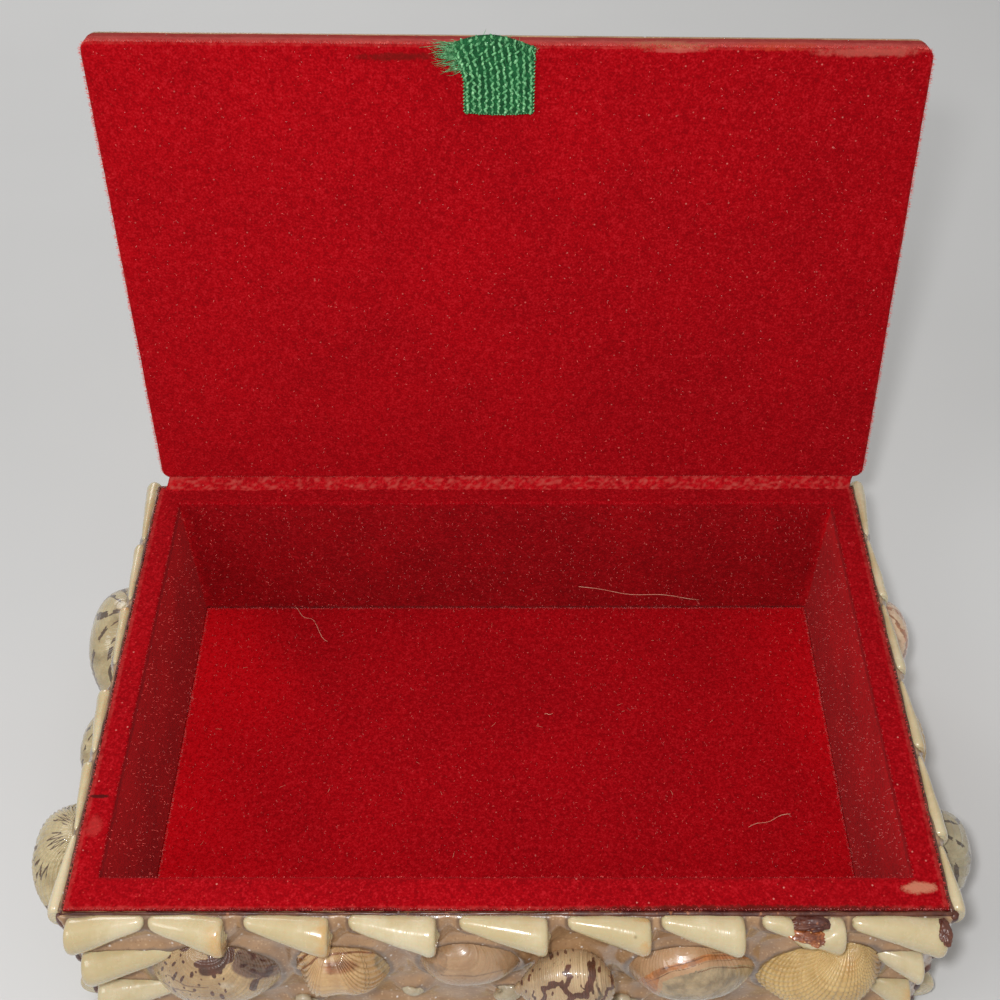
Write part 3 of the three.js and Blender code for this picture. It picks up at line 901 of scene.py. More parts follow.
def zigzag_marks(along, across, place):
    """Bold, thick zigzags, with a long dark oval at the upper right."""
    lines = [
        ([(-0.43, -0.42), (-0.43, -0.1), (-0.1, 0.04), (0.1, -0.32), (0.35, -0.28), (0.49, 0.04)], 0.12),
        ([(0.02, 0.02), (0.03, 0.5)], 0.11), ([(-0.07, 0.3), (0.12, 0.2)], 0.09),
             ([(0.34, -0.08), (0.47, 0.08)], 0.09),
        ([(0.49, 0.04), (0.52, 0.62)], 0.15), ([(0.93, 0.5), (0.9, -0.1), (0.68, -0.42), (0.64, -0.78)],
                                               0.09),
        ([(-0.1, -0.52), (0.1, -0.4), (0.2, -0.62)], 0.09), ([(-0.3, -0.7), (-0.05, -0.56)], 0.08),
        ([(-0.62, -0.2), (-0.6, -0.5)], 0.06), ([(-0.72, 0.1), (-0.66, 0.2)], 0.05),
    ]
    jagged = 0.05 * noise.noise(Vector((place.x * 8, place.y * 8, 1.0)))
    shaken = Vector((place.x + jagged, place.y - jagged, 0))
    dark = max(stroke(shaken, points, width * 0.78) for points, width in lines)
    dark = max(dark, 0.7 * flecks(place, 4.0, 7.0, -0.4, 5.0))
    tail = stroke(place, [(0.6, 0.0), (0.66, -0.3), (0.5, -0.6)], 0.12, soft=0.8)
    pink = oval(place, (0.0, -0.1), (0.5, 0.4), 0, 0.8)
    return (dark, pink * 0.45, tail * 0.6)


def banded_marks(along, across, place):
    """An arching orange band with brown lines in it, cream below, then a smooth grey-green part."""
    arch = 0.45 - 0.45 * (place.x - 0.55) ** 2 + 0.06 * noise.noise(Vector((place.x * 3, place.y * 3, 0)))
    level = place.y - arch
    orange = 1.0 if -0.13 < level < 0.06 else 0.0
    if place.x < -0.55 and level < 0.06:
        orange = 0.85
    lines = [(0.0, 0.03, -0.5, 0.65), (-0.16, 0.022, -0.7, 1.0), (-0.4, 0.03, 0.0, 1.0),
             (0.1, 0.025, 0.2, 0.7)]
    dark = max(max(0.0, 1 - abs(level - at) / width) if start < place.x < end else 0.0
               for at, width, start, end in lines)
    green = 1.0 if level < -0.34 and place.x > -0.5 else 0.0
    return (min(1.0, dark * 1.6) * 0.7, orange * 0.75, green * 0.8)


def cockle_marks(along, across, place):
    """An orange-yellow flush right of the middle, and pink-tan on the right."""
    flush = oval(place, (0.28, 0.1), (0.36, 1.05), -8, 1.0)
    return (0.0, flush * 0.6, oval(place, (0.85, 0.2), (0.42, 0.9), 0, 0.9) * 0.7)


def ark_marks(along, across, place):
    """A brown groove below the hinge edge, and orange-brown between the ribs in the middle."""
    groove = stroke(place, [(-0.95, 0.1), (-0.5, 0.58), (0.1, 0.76), (0.7, 0.74)], 0.09, soft=0.7)
    second = stroke(place, [(-0.9, -0.2), (-0.4, 0.34), (0.2, 0.5), (0.7, 0.46)], 0.08, soft=0.8)
    between = 1 - abs(sin(pi * 30 * across)) ** 0.7
    middle = oval(place, (0.02, 0.0), (0.62, 0.42), 12, 0.7)
    return (max(groove, second * 0.7, between * middle * 0.9), middle * 0.75,
            oval(place, (0.9, 0.2), (0.3, 0.6)) * 0.7)


def ark_ridges(along, across, point, place):
    """Two long ridges beside the hinge edge."""
    first = stroke(place, [(-0.95, 0.3), (-0.5, 0.72), (0.1, 0.88), (0.8, 0.86)], 0.14, soft=1.0)
    second = stroke(place, [(-0.95, -0.05), (-0.5, 0.46), (0.1, 0.63), (0.75, 0.6)], 0.12, soft=1.0)
    return 0.55 * max(first, second)


def moon_marks(along, across, place):
    """A dark outline round the left end, brownish within, and a dark lower edge."""
    reach = hypot((place.x + 0.66) / 0.3, (place.y + 0.1) / 0.5)
    outline = max(0.0, 1 - abs(reach - 1) / 0.16) * (1.0 if place.x < -0.5 or place.y < -0.3 else 0.2)
    lower = stroke(place, [(-0.5, -0.55), (0.1, -0.6), (0.6, -0.35)], 0.07, soft=0.8)
    return (max(outline, lower) * 0.5, 0.6 if reach < 0.95 else 0.0, 0.0)


def rays(count, share, seed):
    """Broken brown rays fanning from the umbo."""
    def marks(along, across, place):
        ray = saw(across * count + 0.25 * noise.noise(Vector((along * 5, across * 9, seed))))
        broken = noise.noise(Vector((along * 11, across * 14, seed + 5)))
        return (1.0 if ray > 1 - share and broken > -0.15 else 0.0, saw(along * 3 + seed) * 0.5, 0.0)

    return marks


def tents(count, seed):
    """Rows of small brown tents along the growth lines."""
    def marks(along, across, place):
        level = (along * count + 0.5 * saw(across * 22 + seed)) % 1.0
        here = noise.noise(Vector((along * 7, across * 7, seed)))
        return (1.0 if level < 0.22 and here > -0.1 else 0.0, 0.0, 0.3 if here < -0.3 else 0.0)

    return marks


def patches(seed):
    """A few large brown patches."""
    def marks(along, across, place):
        here = noise.noise(Vector((place.x * 1.7, place.y * 1.7, seed)))
        return (min(1.0, max(0.0, (here - 0.12) * 7)), min(1.0, max(0.0, (-here - 0.1) * 3)), 0.0)

    return marks


# ---- Snails ----

def coil(columns, rows, turns=3.4, flare=1.85, height=1.0, mouth=-90.0):
    """A coiled shell of unit size on its side, its tip to the left and its mouth turned down."""
    def place(across, along):
        turn = turns * (along - 1)
        size = flare ** turn
        ring = 2 * pi * across
        out = size * (0.48 + 0.52 * cos(ring))
        x = size * (height + 0.62 * sin(ring))
        angle = 2 * pi * turn + radians(mouth)
        return Vector((x, out * cos(angle), out * sin(angle)))

    return grid_form(columns, rows, place)


def snail(low, high, turn, marks, seed, fine, relief, **shape):
    bm = coil(fine[0], fine[1], **shape)
    stretch_over(bm, low, high, turn)
    return finish_snail(bm, low, high, marks, seed, relief)


def finish_snail(bm, low, high, marks, seed, relief, slant=0.0):
    places = places_on(bm, low, high, slant)
    relieve(bm, relief, places)
    paint(bm, marks, places, seed)
    weld(bm)
    for v in bm.verts:
        v.co.z = max(v.co.z, SUNK)
    close_openings(bm)
    return bm


def volute(low, high, turn, columns=140, rows=260):
    """A plump volute on its side: nodule and short stepped spire on the left, round end on the right."""
    def width(along):
        if along < 0.07:
            return 0.2 * math.sqrt(max(0.0, 1 - (1 - along / 0.07) ** 2))
        if along < 0.6:
            swell = 0.2 + 0.8 * sin(pi / 2 * (along - 0.07) / 0.53) ** 0.8
            return swell - 0.02 * (along * 24 % 1.0) * (1 - along / 0.6)
        return max(0.0, cos(pi / 2 * (along - 0.6) / 0.4)) ** 0.55

    def place(across, along):
        angle = 2 * pi * across
        lean = 0.12 * sin(pi * along)
        return Vector((2 * along - 1, width(along) * cos(angle) + lean, width(along) * sin(angle) + 0.5))

    bm = grid_form(columns, rows, place)
    stretch_over(bm, low, high, turn)
    return bm


# ---- The resin bed of a face ----

def resin_bed(face, name, replaces, low, high, step, material, fillet=1.5, corner=0.0):
    """The bed as a relief: it wells up beside every shell, and dips a little between them."""
    columns, rows = round((high.x - low.x) / step), round((high.y - low.y) / step)
    bm = grid_form(columns, rows, lambda a, b: Vector((low.x + (high.x - low.x) * a,
                                                       low.y + (high.y - low.y) * b, 0)))
    near = bm.verts.layers.float.new("near")
    middle = (low + high) / 2
    inner = Vector(((high.x - low.x) / 2 - corner, (high.y - low.y) / 2 - corner))
    for v in bm.verts:
        if corner:  # rounds the outline's corners
            past = Vector((abs(v.co.x - middle.x) - inner.x, abs(v.co.y - middle.y) - inner.y))
            if past.x > 0 and past.y > 0 and past.length > corner:
                past *= corner / past.length
                v.co.x = middle.x + math.copysign(inner.x + past.x, v.co.x - middle.x)
                v.co.y = middle.y + math.copysign(inner.y + past.y, v.co.y - middle.y)
        spot = Vector((v.co.x, v.co.y, 0.8))
        found = [tree.find_nearest(spot, 5.0)[3] for tree in shells_on[face]]
        gap = min((d for d in found if d is not None), default=5.0)
        edge = min(v.co.x - low.x, high.x - v.co.x, v.co.y - low.y, high.y - v.co.y)
        held = min(1.0, edge / 2.0)
        wave = 0.28 * drift(v.co, 0.16, 3) + 0.12 * drift(v.co, 0.5, 5) + 0.05 * drift(v.co, 1.6, 8)
        v.co.z = 0.12 + held * (0.35 + fillet * math.exp(-(gap / 1.5) ** 2) + wave)
        v[near] = math.exp(-(gap / 0.75) ** 2)
    bmesh.ops.recalc_face_normals(bm, faces=bm.faces)
    if sum(f.normal.z for f in bm.faces) < 0:
        bmesh.ops.reverse_faces(bm, faces=bm.faces)
    close_back(bm, -(high.z - low.z) + 0.05)
    return make_piece(bm, name, FACES[face], material, BODIES[face], replaces)


# ---- The front ----

CONE = cone_material()
RESIN = resin_material()
LACQUER = lacquer_material()
GLUE = glue_material()

SPOTTED = shell_material("spotted_clam", (192, 162, 118), (160, 130, 92), (84, 38, 24), (122, 92, 76),
                         (204, 182, 152), lines=46)
ZIGZAG = shell_material("zigzag_volute", (190, 162, 124), (160, 132, 98), (92, 42, 26), (176, 138, 106),
                        (86, 66, 48), lines=60, relief=0.15)
ARK = shell_material("ribbed_ark", (198, 162, 114), (178, 140, 96), (150, 92, 50), (172, 118, 74),
                     (190, 164, 124), lines=30)
MOON = shell_material("moon_shell", (172, 138, 104), (150, 116, 84), (92, 64, 44), (162, 126, 92),
                      (150, 116, 88), lines=20, relief=0.1)
BANDED = shell_material("banded_tellin", (184, 146, 110), (168, 130, 94), (116, 70, 34), (186, 118, 66),
                        (172, 150, 116), lines=18, relief=0.1)
YELLOW = shell_material("yellow_cockle", (204, 172, 114), (184, 150, 92), (136, 98, 52), (202, 150, 76),
                        (182, 140, 98), lines=34, relief=0.35)
BROWN_CLAM = shell_material("patched_clam", (192, 176, 136), (166, 148, 110), (92, 68, 50), (150, 128, 94),
                            (196, 184, 156), lines=36)
PEACH_CLAM = shell_material("peach_clam", (226, 196, 164), (214, 180, 144), (186, 120, 80), (222, 170, 130),
                            (232, 222, 200), lines=24)
GLASSY_CLAM = shell_material("glassy_clam", (176, 164, 132), (150, 136, 106), (84, 66, 50), (140, 126, 98),
                             (226, 220, 204), lines=30, relief=0.15)
WHITE_SNAIL = shell_material("white_snail", (186, 172, 144), (158, 142, 114), (116, 90, 64), (146, 130, 104),
                             (240, 236, 222), lines=30)


def front_cones():
    names = [f"front_top_cone_{i}" for i in range(1, 10)]
    top_cones("front", names[:7] + names[8:], CONE)
    chipped_cone(names[7])
    for side, butt_left in (("left", True), ("right", False)):
        corner_stack(f"front_{side}_cone_stack", butt_left)


def lump(bm, centre, size, rough, seed):
    """Adds a lump of glue or lacquer, uneven all over."""
    start = len(bm.verts)
    bmesh.ops.create_icosphere(bm, subdivisions=5, radius=1)
    bm.verts.ensure_lookup_table()
    for v in bm.verts[start:]:
        uneven = 1 + rough * drift(v.co, 1.8, seed) + rough * 0.4 * drift(v.co, 5.0, seed + 2)
        v.co = Vector([centre[i] + v.co[i] * size[i] * uneven for i in range(3)])


def chipped_cone(node_name):
    """The eighth cone has lost a piece of its upper edge, and old glue and lacquer show in the gap."""
    low, high = local_box(node_name, FACES["front"])
    bm = cone_bed()
    add_cone(bm, low.x, high.x - 0.4, high.y, radius=(high.y - low.y) / 2)
    start, end = low.x + (high.x - low.x) * 0.32, low.x + (high.x - low.x) * 0.8
    bite(bm, (start, end), (-3.0, 5.2), 1.9)
    set_on("front", bm, "front_rim_cone_8", CONE, [node_name])
    middle, half = (start + end) / 2, (end - start) / 2
    glue = cone_bed()
    lump(glue, (middle - 0.4, high.y - 1.75, 3.0), (half * 0.85, 0.8, 1.6), 0.4, 1.0)
    lump(glue, (middle + 0.9, high.y - 2.1, 4.0), (half * 0.45, 0.8, 1.2), 0.4, 5.0)
    set_on("front", glue, "old_glue", GLUE)
    dark = cone_bed()
    lump(dark, (middle + 0.3, high.y - 1.0, 1.3), (half * 1.0, 0.9, 1.5), 0.35, 3.0)
    make_piece(dark, "chip_lacquer", FACES["front"], LACQUER, "box")


def corner_stack(node_name, butt_left):
    low, high = local_box(node_name, FACES["front"])
    bm = cone_bed()
    count, radius = 2, 4.4
    reach = 5.0 if butt_left else 2.0
    short = 0.0 if butt_left else 3.0
    pitch = (high.y - low.y - 2 * radius) / (count - 1)
    for i in range(count):
        ends = (high.x + reach, low.x) if butt_left else (low.x - reach, high.x - short)
        add_cone(bm, *ends, high.y + 0.8 - i * pitch, radius, tilt=(2, -3)[i])
    set_on("front", bm, node_name.replace("cone_stack", "corner_cones"), CONE, [node_name])


VOLUTE_RISE = 2.0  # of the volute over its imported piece
LOOK_DOWN = 66.0  # the front's shells are laid out as they are seen from above, this far below the level


def front_field():
    half_shell("front", "front_spotted_clam", "spotted_clam", SPOTTED,
               both(rings(24, 0.07), ribs(40, 0.07)), spotted_marks, fine=(240, 130), seed=2.0, squared=0.06,
               slant=LOOK_DOWN, grow=(1.1, 1.0), move=(-1.1, 0))
    half_shell("front", "front_ribbed_ark", "ribbed_ark", ARK,
               both(ribs(30, 0.3), ark_ridges), ark_marks, turn=10, fine=(300, 110), seed=3.0,
               slant=LOOK_DOWN,
               blunt=0.34, grow=(1.0, 1.12), move=(0, -0.4), stands=1.3)
    half_shell("front", "front_moon_shell", "moon_shell", MOON, rings(8, 0.05), moon_marks,
               turn=14, fine=(140, 80), seed=4.0, slant=LOOK_DOWN, grow=(1.16, 1.2), move=(1.0, 0.4),
               stands=1.4)
    half_shell("front", "front_peach_tellin", "banded_tellin", BANDED, rings(18, 0.06),
               banded_marks, turn=10, fine=(220, 120), seed=5.0, slant=LOOK_DOWN, grow=(1.08, 1.12),
               stands=1.5)
    half_shell("front", "front_yellow_cockle", "yellow_cockle", YELLOW,
               ribs(44, 0.34, beads=26, bead_depth=0.16), cockle_marks, turn=-10, skew=-0.2, fine=(360, 100),
               seed=6.0, slant=LOOK_DOWN)
    low, high = local_box("front_zigzag_volute", FACES["front"])
    low.z = SUNK
    high.y += VOLUTE_RISE
    bm = finish_snail(volute(low, high, 8), low, high, zigzag_marks, 7.0, volute_relief, LOOK_DOWN)
    set_on("front", bm, "zigzag_volute", ZIGZAG, ["front_zigzag_volute"])


def volute_relief(along, across, point, place):
    """Fine cords all along, and stepped ridges round the right end."""
    cords = 0.03 * sin(2 * pi * 46 * along)
    steps = 0.28 * ((along * 26) % 1.0) if along > 0.72 else 0.0
    return cords + steps


def small_snails(face, name, places, radius, material):
    """Small white snails tucked into the gaps, as one piece."""
    whole = cone_bed()
    rng = random.Random(name)
    for i, (x, y) in enumerate(places):
        size = radius * rng.uniform(0.85, 1.15)
        low = Vector((x - size, y - size * 0.85, -0.4))
        high = Vector((x + size, y + size * 0.85, size * 1.3))
        bm = snail(low, high, rng.uniform(0, 360), unmarked, 20.0 + i, (22, 44),
                   lambda along, across, point, place: 0.05 * sin(2 * pi * across * 6),
                   turns=2.6, flare=2.2, height=0.55, mouth=-90)
        mesh = bpy.data.meshes.new("snail_form")
        bm.to_mesh(mesh)
        bm.free()
        whole.from_mesh(mesh)
        bpy.data.meshes.remove(mesh)
    return set_on(face, whole, name, material)


def front_face():
    low, high = local_box("front_bed", FACES["front"])
    front_cones()
    front_field()
    places = [(-18.5, 15), (0.5, 14.5), (-40, 10), (24.5, 10), (68, 10)]
    small_snails("front", "front_small_snails", places, 2.7, WHITE_SNAIL)
    cone_row("front", "front_foot_cones", 9, low.x + 2, high.x - 2, 0.9, CONE, flip=-1,
             backwards=(0, 1, 2, 3))
    resin_bed("front", "front_resin", ["front_bed"], low, high, 0.6, RESIN)


# ---- The sides ----

SIDE_STANDS = 0.6  # the side cones lie deeper in the resin


def left_face():
    low, high = local_box("left_bed", FACES["left"])
    top_cones("left", [f"left_top_cone_{i}" for i in range(1, 7)], CONE, SIDE_STANDS)
    half_shell("left", "left_striped_clam", "left_patched_clam", BROWN_CLAM,
               rings(22, 0.14), rays(7, 0.24, 2.0),
               fine=(150, 80), seed=8.0, curl=125, grow=(1.25, 1.1), move=(0, 1.5))
    half_shell("left", "left_small_clam", "left_small_clam_shell", BROWN_CLAM, rings(14, 0.1),
               rays(7, 0.2, 1.0), turn=14, fine=(110, 60), seed=9.0, curl=125, grow=(1.4, 1.2),
               move=(0, 2.0), stands=1.1)
    half_shell("left", "left_venus_clam", "left_venus", BROWN_CLAM,
               both(ribs(34, 0.4), rings(16, 0.12)),
               tents(4, 3.0), fine=(280, 80), seed=10.0, curl=125, grow=(1.1, 1.1), move=(0, 1.5),
               stands=0.93)
    small_snails("left", "left_small_snails", [(-40, 18), (0, 14), (17, 33), (21, 14)], 3.2, WHITE_SNAIL)
    cone_row("left", "left_foot_cones", 6, low.x + 1, high.x - 1, 0.9, CONE, flip=-1)
    resin_bed("left", "left_resin", ["left_bed"], low, high, 0.9, RESIN)


def right_face():
    low, high = local_box("right_bed", FACES["right"])
    top_cones("right", [f"right_top_cone_{i}" for i in range(1, 7)], CONE, SIDE_STANDS)
    half_shell("right", "right_glassy_clam", "right_glassy_shell", GLASSY_CLAM,
               rings(12, 0.25), rays(6, 0.2, 5.0),
               fine=(150, 80), seed=11.0, curl=125)
    half_shell("right", "right_ribbed_cockle", "right_cockle", YELLOW,
               both(ribs(30, 0.45), rings(12, 0.12)),
               fine=(260, 70), seed=12.0)
    half_shell("right", "right_peach_clam", "right_peach_shell", PEACH_CLAM,
               rings(18, 0.12), rays(7, 0.35, 2.0),
               turn=-8, fine=(140, 70), seed=13.0)
    small_snails("right", "right_small_snails", [(-46, 17), (-15, 14), (15, 33), (45, 18)], 3.2, WHITE_SNAIL)
    cone_row("right", "right_foot_cones", 6, low.x + 1, high.x - 1, 0.9, CONE, flip=-1, backwards=(0, 1, 2))
    resin_bed("right", "right_resin", ["right_bed"], low, high, 0.9, RESIN)


def clam_line(face, name, node_name, count, size, material, relief, marks, along="x", seed=30.0):
    """A line of clams that lap each other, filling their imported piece's box, as one piece."""
    low, high = local_box(node_name, FACES[face])
    whole = cone_bed()
    axis = 0 if along == "x" else 1
    for i in range(count):
        share = i / (count - 1)
        start = low[axis] + (high[axis] - low[axis] - size) * share
        part_low, part_high = low.copy(), high.copy()
        part_low[axis], part_high[axis] = start, start + size
        part_low.z, part_high.z = 0.0, high.z - 0.3 * (i % 2)
        bm = bivalve(110, 54, 100 + 3 * (i % 3), 0.12 * (-1) ** i)
        stretch_over(bm, part_low, part_high, 0 if along == "x" else 90 * (1 if low.x > 0 else -1))
        places = places_on(bm, part_low, part_high)
        relieve(bm, relief, places)
        paint(bm, marks[i % len(marks)], places, seed + i)
        weld(bm)
        close_back(bm, SUNK)
        mesh = bpy.data.meshes.new("clam_form")
        bm.to_mesh(mesh)
        bm.free()
        whole.from_mesh(mesh)
        bpy.data.meshes.remove(mesh)
    return set_on(face, whole, name, material, [node_name])


def back_face():
    low, high = local_box("back_bed", FACES["back"])
    row_low, row_high = local_box("back_top_cones", FACES["back"])
    cone_row("back", "back_rim_cones", 9, row_low.x, row_high.x, row_high.y, CONE,
             replaces=["back_top_cones"])
    clam_line("back", "back_clam_shells", "back_clams", 6, 26.0, BROWN_CLAM, rings(18, 0.14),
              [patches(1.0), rays(8, 0.3, 4.0), tents(8, 2.0)])
    cone_row("back", "back_foot_cones", 9, low.x + 2, high.x - 2, 0.9, CONE, flip=-1)
    resin_bed("back", "back_resin", ["back_bed"], low, high, 1.0, RESIN)


# ---- The lid's shells ----

def lid_face():
    rows = {name: local_box(name, FACES["lid"]) for name in
            ("lid_back_cones", "lid_front_cones", "lid_left_cones", "lid_right_cones")}
    low, high = rows["lid_back_cones"]
    cone_row("lid", "lid_back_edge_cones", 9, low.x, high.x, high.y, CONE, replaces=["lid_back_cones"])
    low, high = rows["lid_front_cones"]
    cone_row("lid", "lid_front_edge_cones", 9, low.x, high.x, low.y, CONE, flip=-1,
             replaces=["lid_front_cones"])
    quarter = Matrix.Rotation(pi / 2, 4, "Z")
    low, high = rows["lid_left_cones"]
    cone_row("lid", "lid_left_edge_cones", 5, low.y, high.y, -low.x, CONE, replaces=["lid_left_cones"],
             turned=quarter)
    low, high = rows["lid_right_cones"]
    cone_row("lid", "lid_right_edge_cones", 5, low.y, high.y, -high.x, CONE, flip=-1,
             replaces=["lid_right_cones"],
             turned=quarter)
    for side in ("left", "right"):
        clam_line("lid", f"lid_{side}_clam_shells", f"lid_{side}_clams", 3, 28.0, PEACH_CLAM,
                  rings(22, 0.15),
                  [rays(9, 0.3, 6.0), patches(3.0), tents(10, 5.0)], along="y", seed=40.0)
    half_shell("lid", "lid_centre_cockle", "lid_cockle", YELLOW,
               both(ribs(46, 0.55), rings(16, 0.16)),
               cockle_marks, fine=(380, 110), seed=50.0)
    places = [(x, y) for x in (-24.5, 24.5) for y in (-33, -16, 0, 16, 33)]
    places += [(x, y) for x in (-12, 0, 12) for y in (-33, 33)]
    places += [(x, y) for x in (-67, 67) for y in (-34, -12, 12, 34)]
    small_snails("lid", "lid_small_snails", places, 4.4, WHITE_SNAIL)
    low, high = local_box("lid_bed", FACES["lid"])
    resin_bed("lid", "lid_resin", ["lid_bed"], low, high, 1.0, RESIN, corner=2.5)


front_face()
left_face()
right_face()
back_face()
lid_face()


# ---- Velvet ----

RED = (166, 6, 16)
SHADED_RED = (104, 2, 8)
BARE = (168, 112, 80)
velvet_low, velvet_high = local_box("lid_lining", LID_INSIDE)
rim_low, rim_high = local_box("wall_lining", ROW)
floor_low, floor_high = local_box("floor_lining", ROW)
RIM_PATCHES = [
    ((77.4, -49.3, 45), (3.6, 1.3, 1.5), (196, 132, 104), 0.7),
    ((-80.4, -29.9, 45), (2.4, 0.5, 1.6), (64, 20, 18), 0.9),
    ((-80, -36.5, 45), (1.8, 2.4, 1.5), (182, 60, 56), 0.4),
    # painted shade: dark bands along the front rim's lower rounding, brownish on the right
    ((46, -53.7, 44.8), (44, 1.15, 1.2), (74, 22, 16), 0.85),
    ((-34, -53.8, 44.7), (46, 0.7, 0.9), (84, 12, 14), 0.7),
]
LID_PATCHES = [
    ((34, 77.5, 147), (12, 4, 1.3), BARE, 0.6),
    ((54, 77.5, 146.8), (10, 4, 1.4), (180, 66, 42), 0.6),
    ((71, 75.8, 145.3), (12, 3, 1.0), (182, 92, 80), 0.55),
    ((33, 75.9, 145.8), (6, 3, 0.5), (186, 96, 86), 0.5),
    # painted shadow left of the ribbon, over dark frayed velvet
    ((-20.5, 75.6, 144.8), (9, 3, 0.9), (92, 20, 16), 0.65),
    ((-84, 66, 100), (2, 3, 14), (182, 84, 78), 0.5),
]
VELVET = velvet_material("box_velvet", RED, SHADED_RED, RIM_PATCHES)
LID_VELVET = velvet_material("lid_velvet", RED, SHADED_RED, LID_PATCHES)
HINGE_VELVET = velvet_material("hinge_velvet", (176, 14, 22), (112, 4, 12))
# painted highlight: the loose fuzz and pile tufts are painted lighter and pinker than the velvet they stand
# from
FUZZ = fuzz_material("velvet_fuzz", (196, 26, 30), (224, 96, 88))


def add_painted_light_and_wear(bm, painted_pile_light, wear_and_edge_light=lambda point: 0.0):
    """Records the pile's painted light and shade, 1 where it is painted lit, and its wear and painted edge
    light.
    """
    pile_light_layer = bm.verts.layers.float.new("painted_pile_light")
    wear_and_edge_light_layer = bm.verts.layers.float.new("wear_and_edge_light")
    for v in bm.verts:
        v[pile_light_layer] = painted_pile_light(v.co)
        v[wear_and_edge_light_layer] = wear_and_edge_light(v.co)


def thicken(obj, thickness):
    solid = obj.modifiers.new("cloth_thickness", "SOLIDIFY")
    solid.thickness = thickness
    solid.offset = -1.0
    return obj


def lid_velvet():
    """One piece of velvet over the inside of the lid and round its four edges."""
    bm = bmesh.new()
    new_layers(bm)
    bmesh.ops.create_cube(bm, size=1)
    low = velvet_low - Vector((0, HINGE_REACH, 0))
    size = velvet_high - low
    middle = (low + velvet_high) / 2
    bmesh.ops.scale(bm, vec=size, verts=bm.verts)
    bmesh.ops.translate(bm, vec=middle, verts=bm.verts)
    upright = [e for e in bm.edges if abs((e.verts[0].co - e.verts[1].co).normalized().z) > 0.9]
    bmesh.ops.bevel(bm, geom=upright, offset=LID_CORNER, affect="EDGES", segments=8, profile=0.5,
                    material=-1)
    back = [f for f in bm.faces if f.normal.z < -0.9]
    bmesh.ops.delete(bm, geom=back, context="FACES")
    brow = [e for e in bm.edges if all(abs(v.co.z - velvet_high.z) < 0.01 for v in e.verts)]
    bmesh.ops.bevel(bm, geom=brow, offset=1.0, affect="EDGES", segments=4, profile=0.5, material=-1)
    cut_across(bm, low, velvet_high, 1.6)
    bmesh.ops.recalc_face_normals(bm, faces=bm.faces)
    if sum(f.normal.z * f.calc_area() for f in bm.faces) < 0:
        bmesh.ops.reverse_faces(bm, faces=bm.faces)
    for v in bm.verts:
        v.co += v.normal * (0.1 * drift(v.co, 0.11, 4) + 0.07 * drift(v.co, 0.6, 9))
    front = velvet_high.y

    # painted highlight: the lid's front edge face, its brow and its sides painted in the pale tone of bare
    # pile, where light catches them
    def wear_and_edge_light(p):
        band = 0.6 if p.y > front - 0.8 and p.z < velvet_high.z - 0.4 else 0.0
        side = 0.25 if abs(p.x) > velvet_high.x - 0.6 else 0.0
        brow = 0.3 if p.y > front - 0.9 else 0.0
        return max(band, side, brow) * (0.9 + 0.3 * drift(p, 0.2, 4))

    # painted light: the lid's velvet is painted darker towards the right, where the light falls off
    add_painted_light_and_wear(bm, lambda p: 0.9 - 0.1 * p.x / velvet_high.x + 0.06 * drift(p, 0.04), wear_and_edge_light)
    obj = make_piece(bm, "lid_velvet_cover", LID_INSIDE, LID_VELVET, "lid", ["lid_lining"])
    return thicken(obj, LINING * MM)


HINGE_REACH = 0.7  # of the lid's velvet towards the hinge line
LINING = 0.7  # thickness of the velvet and its card
LID_CORNER = 2.2  # radius of the lid's corners


def cut_across(bm, low, high, step):
    """Cuts a form into strips both ways, so that it can be shaped finely."""
    for axis, normal in ((0, (1, 0, 0)), (1, (0, 1, 0))):
        count = round((high[axis] - low[axis]) / step)
        for i in range(1, count):
            at = low[axis] + (high[axis] - low[axis]) * i / count
            geom = list(bm.verts) + list(bm.edges) + list(bm.faces)
            bmesh.ops.bisect_plane(bm, geom=geom, dist=1e-4, plane_co=Vector(normal) * at, plane_no=normal)


TURN_DOWN = 1.1  # of the rim's velvet over the outside
TUCKED_IN = 0.5  # of the walls' velvet below the floor's


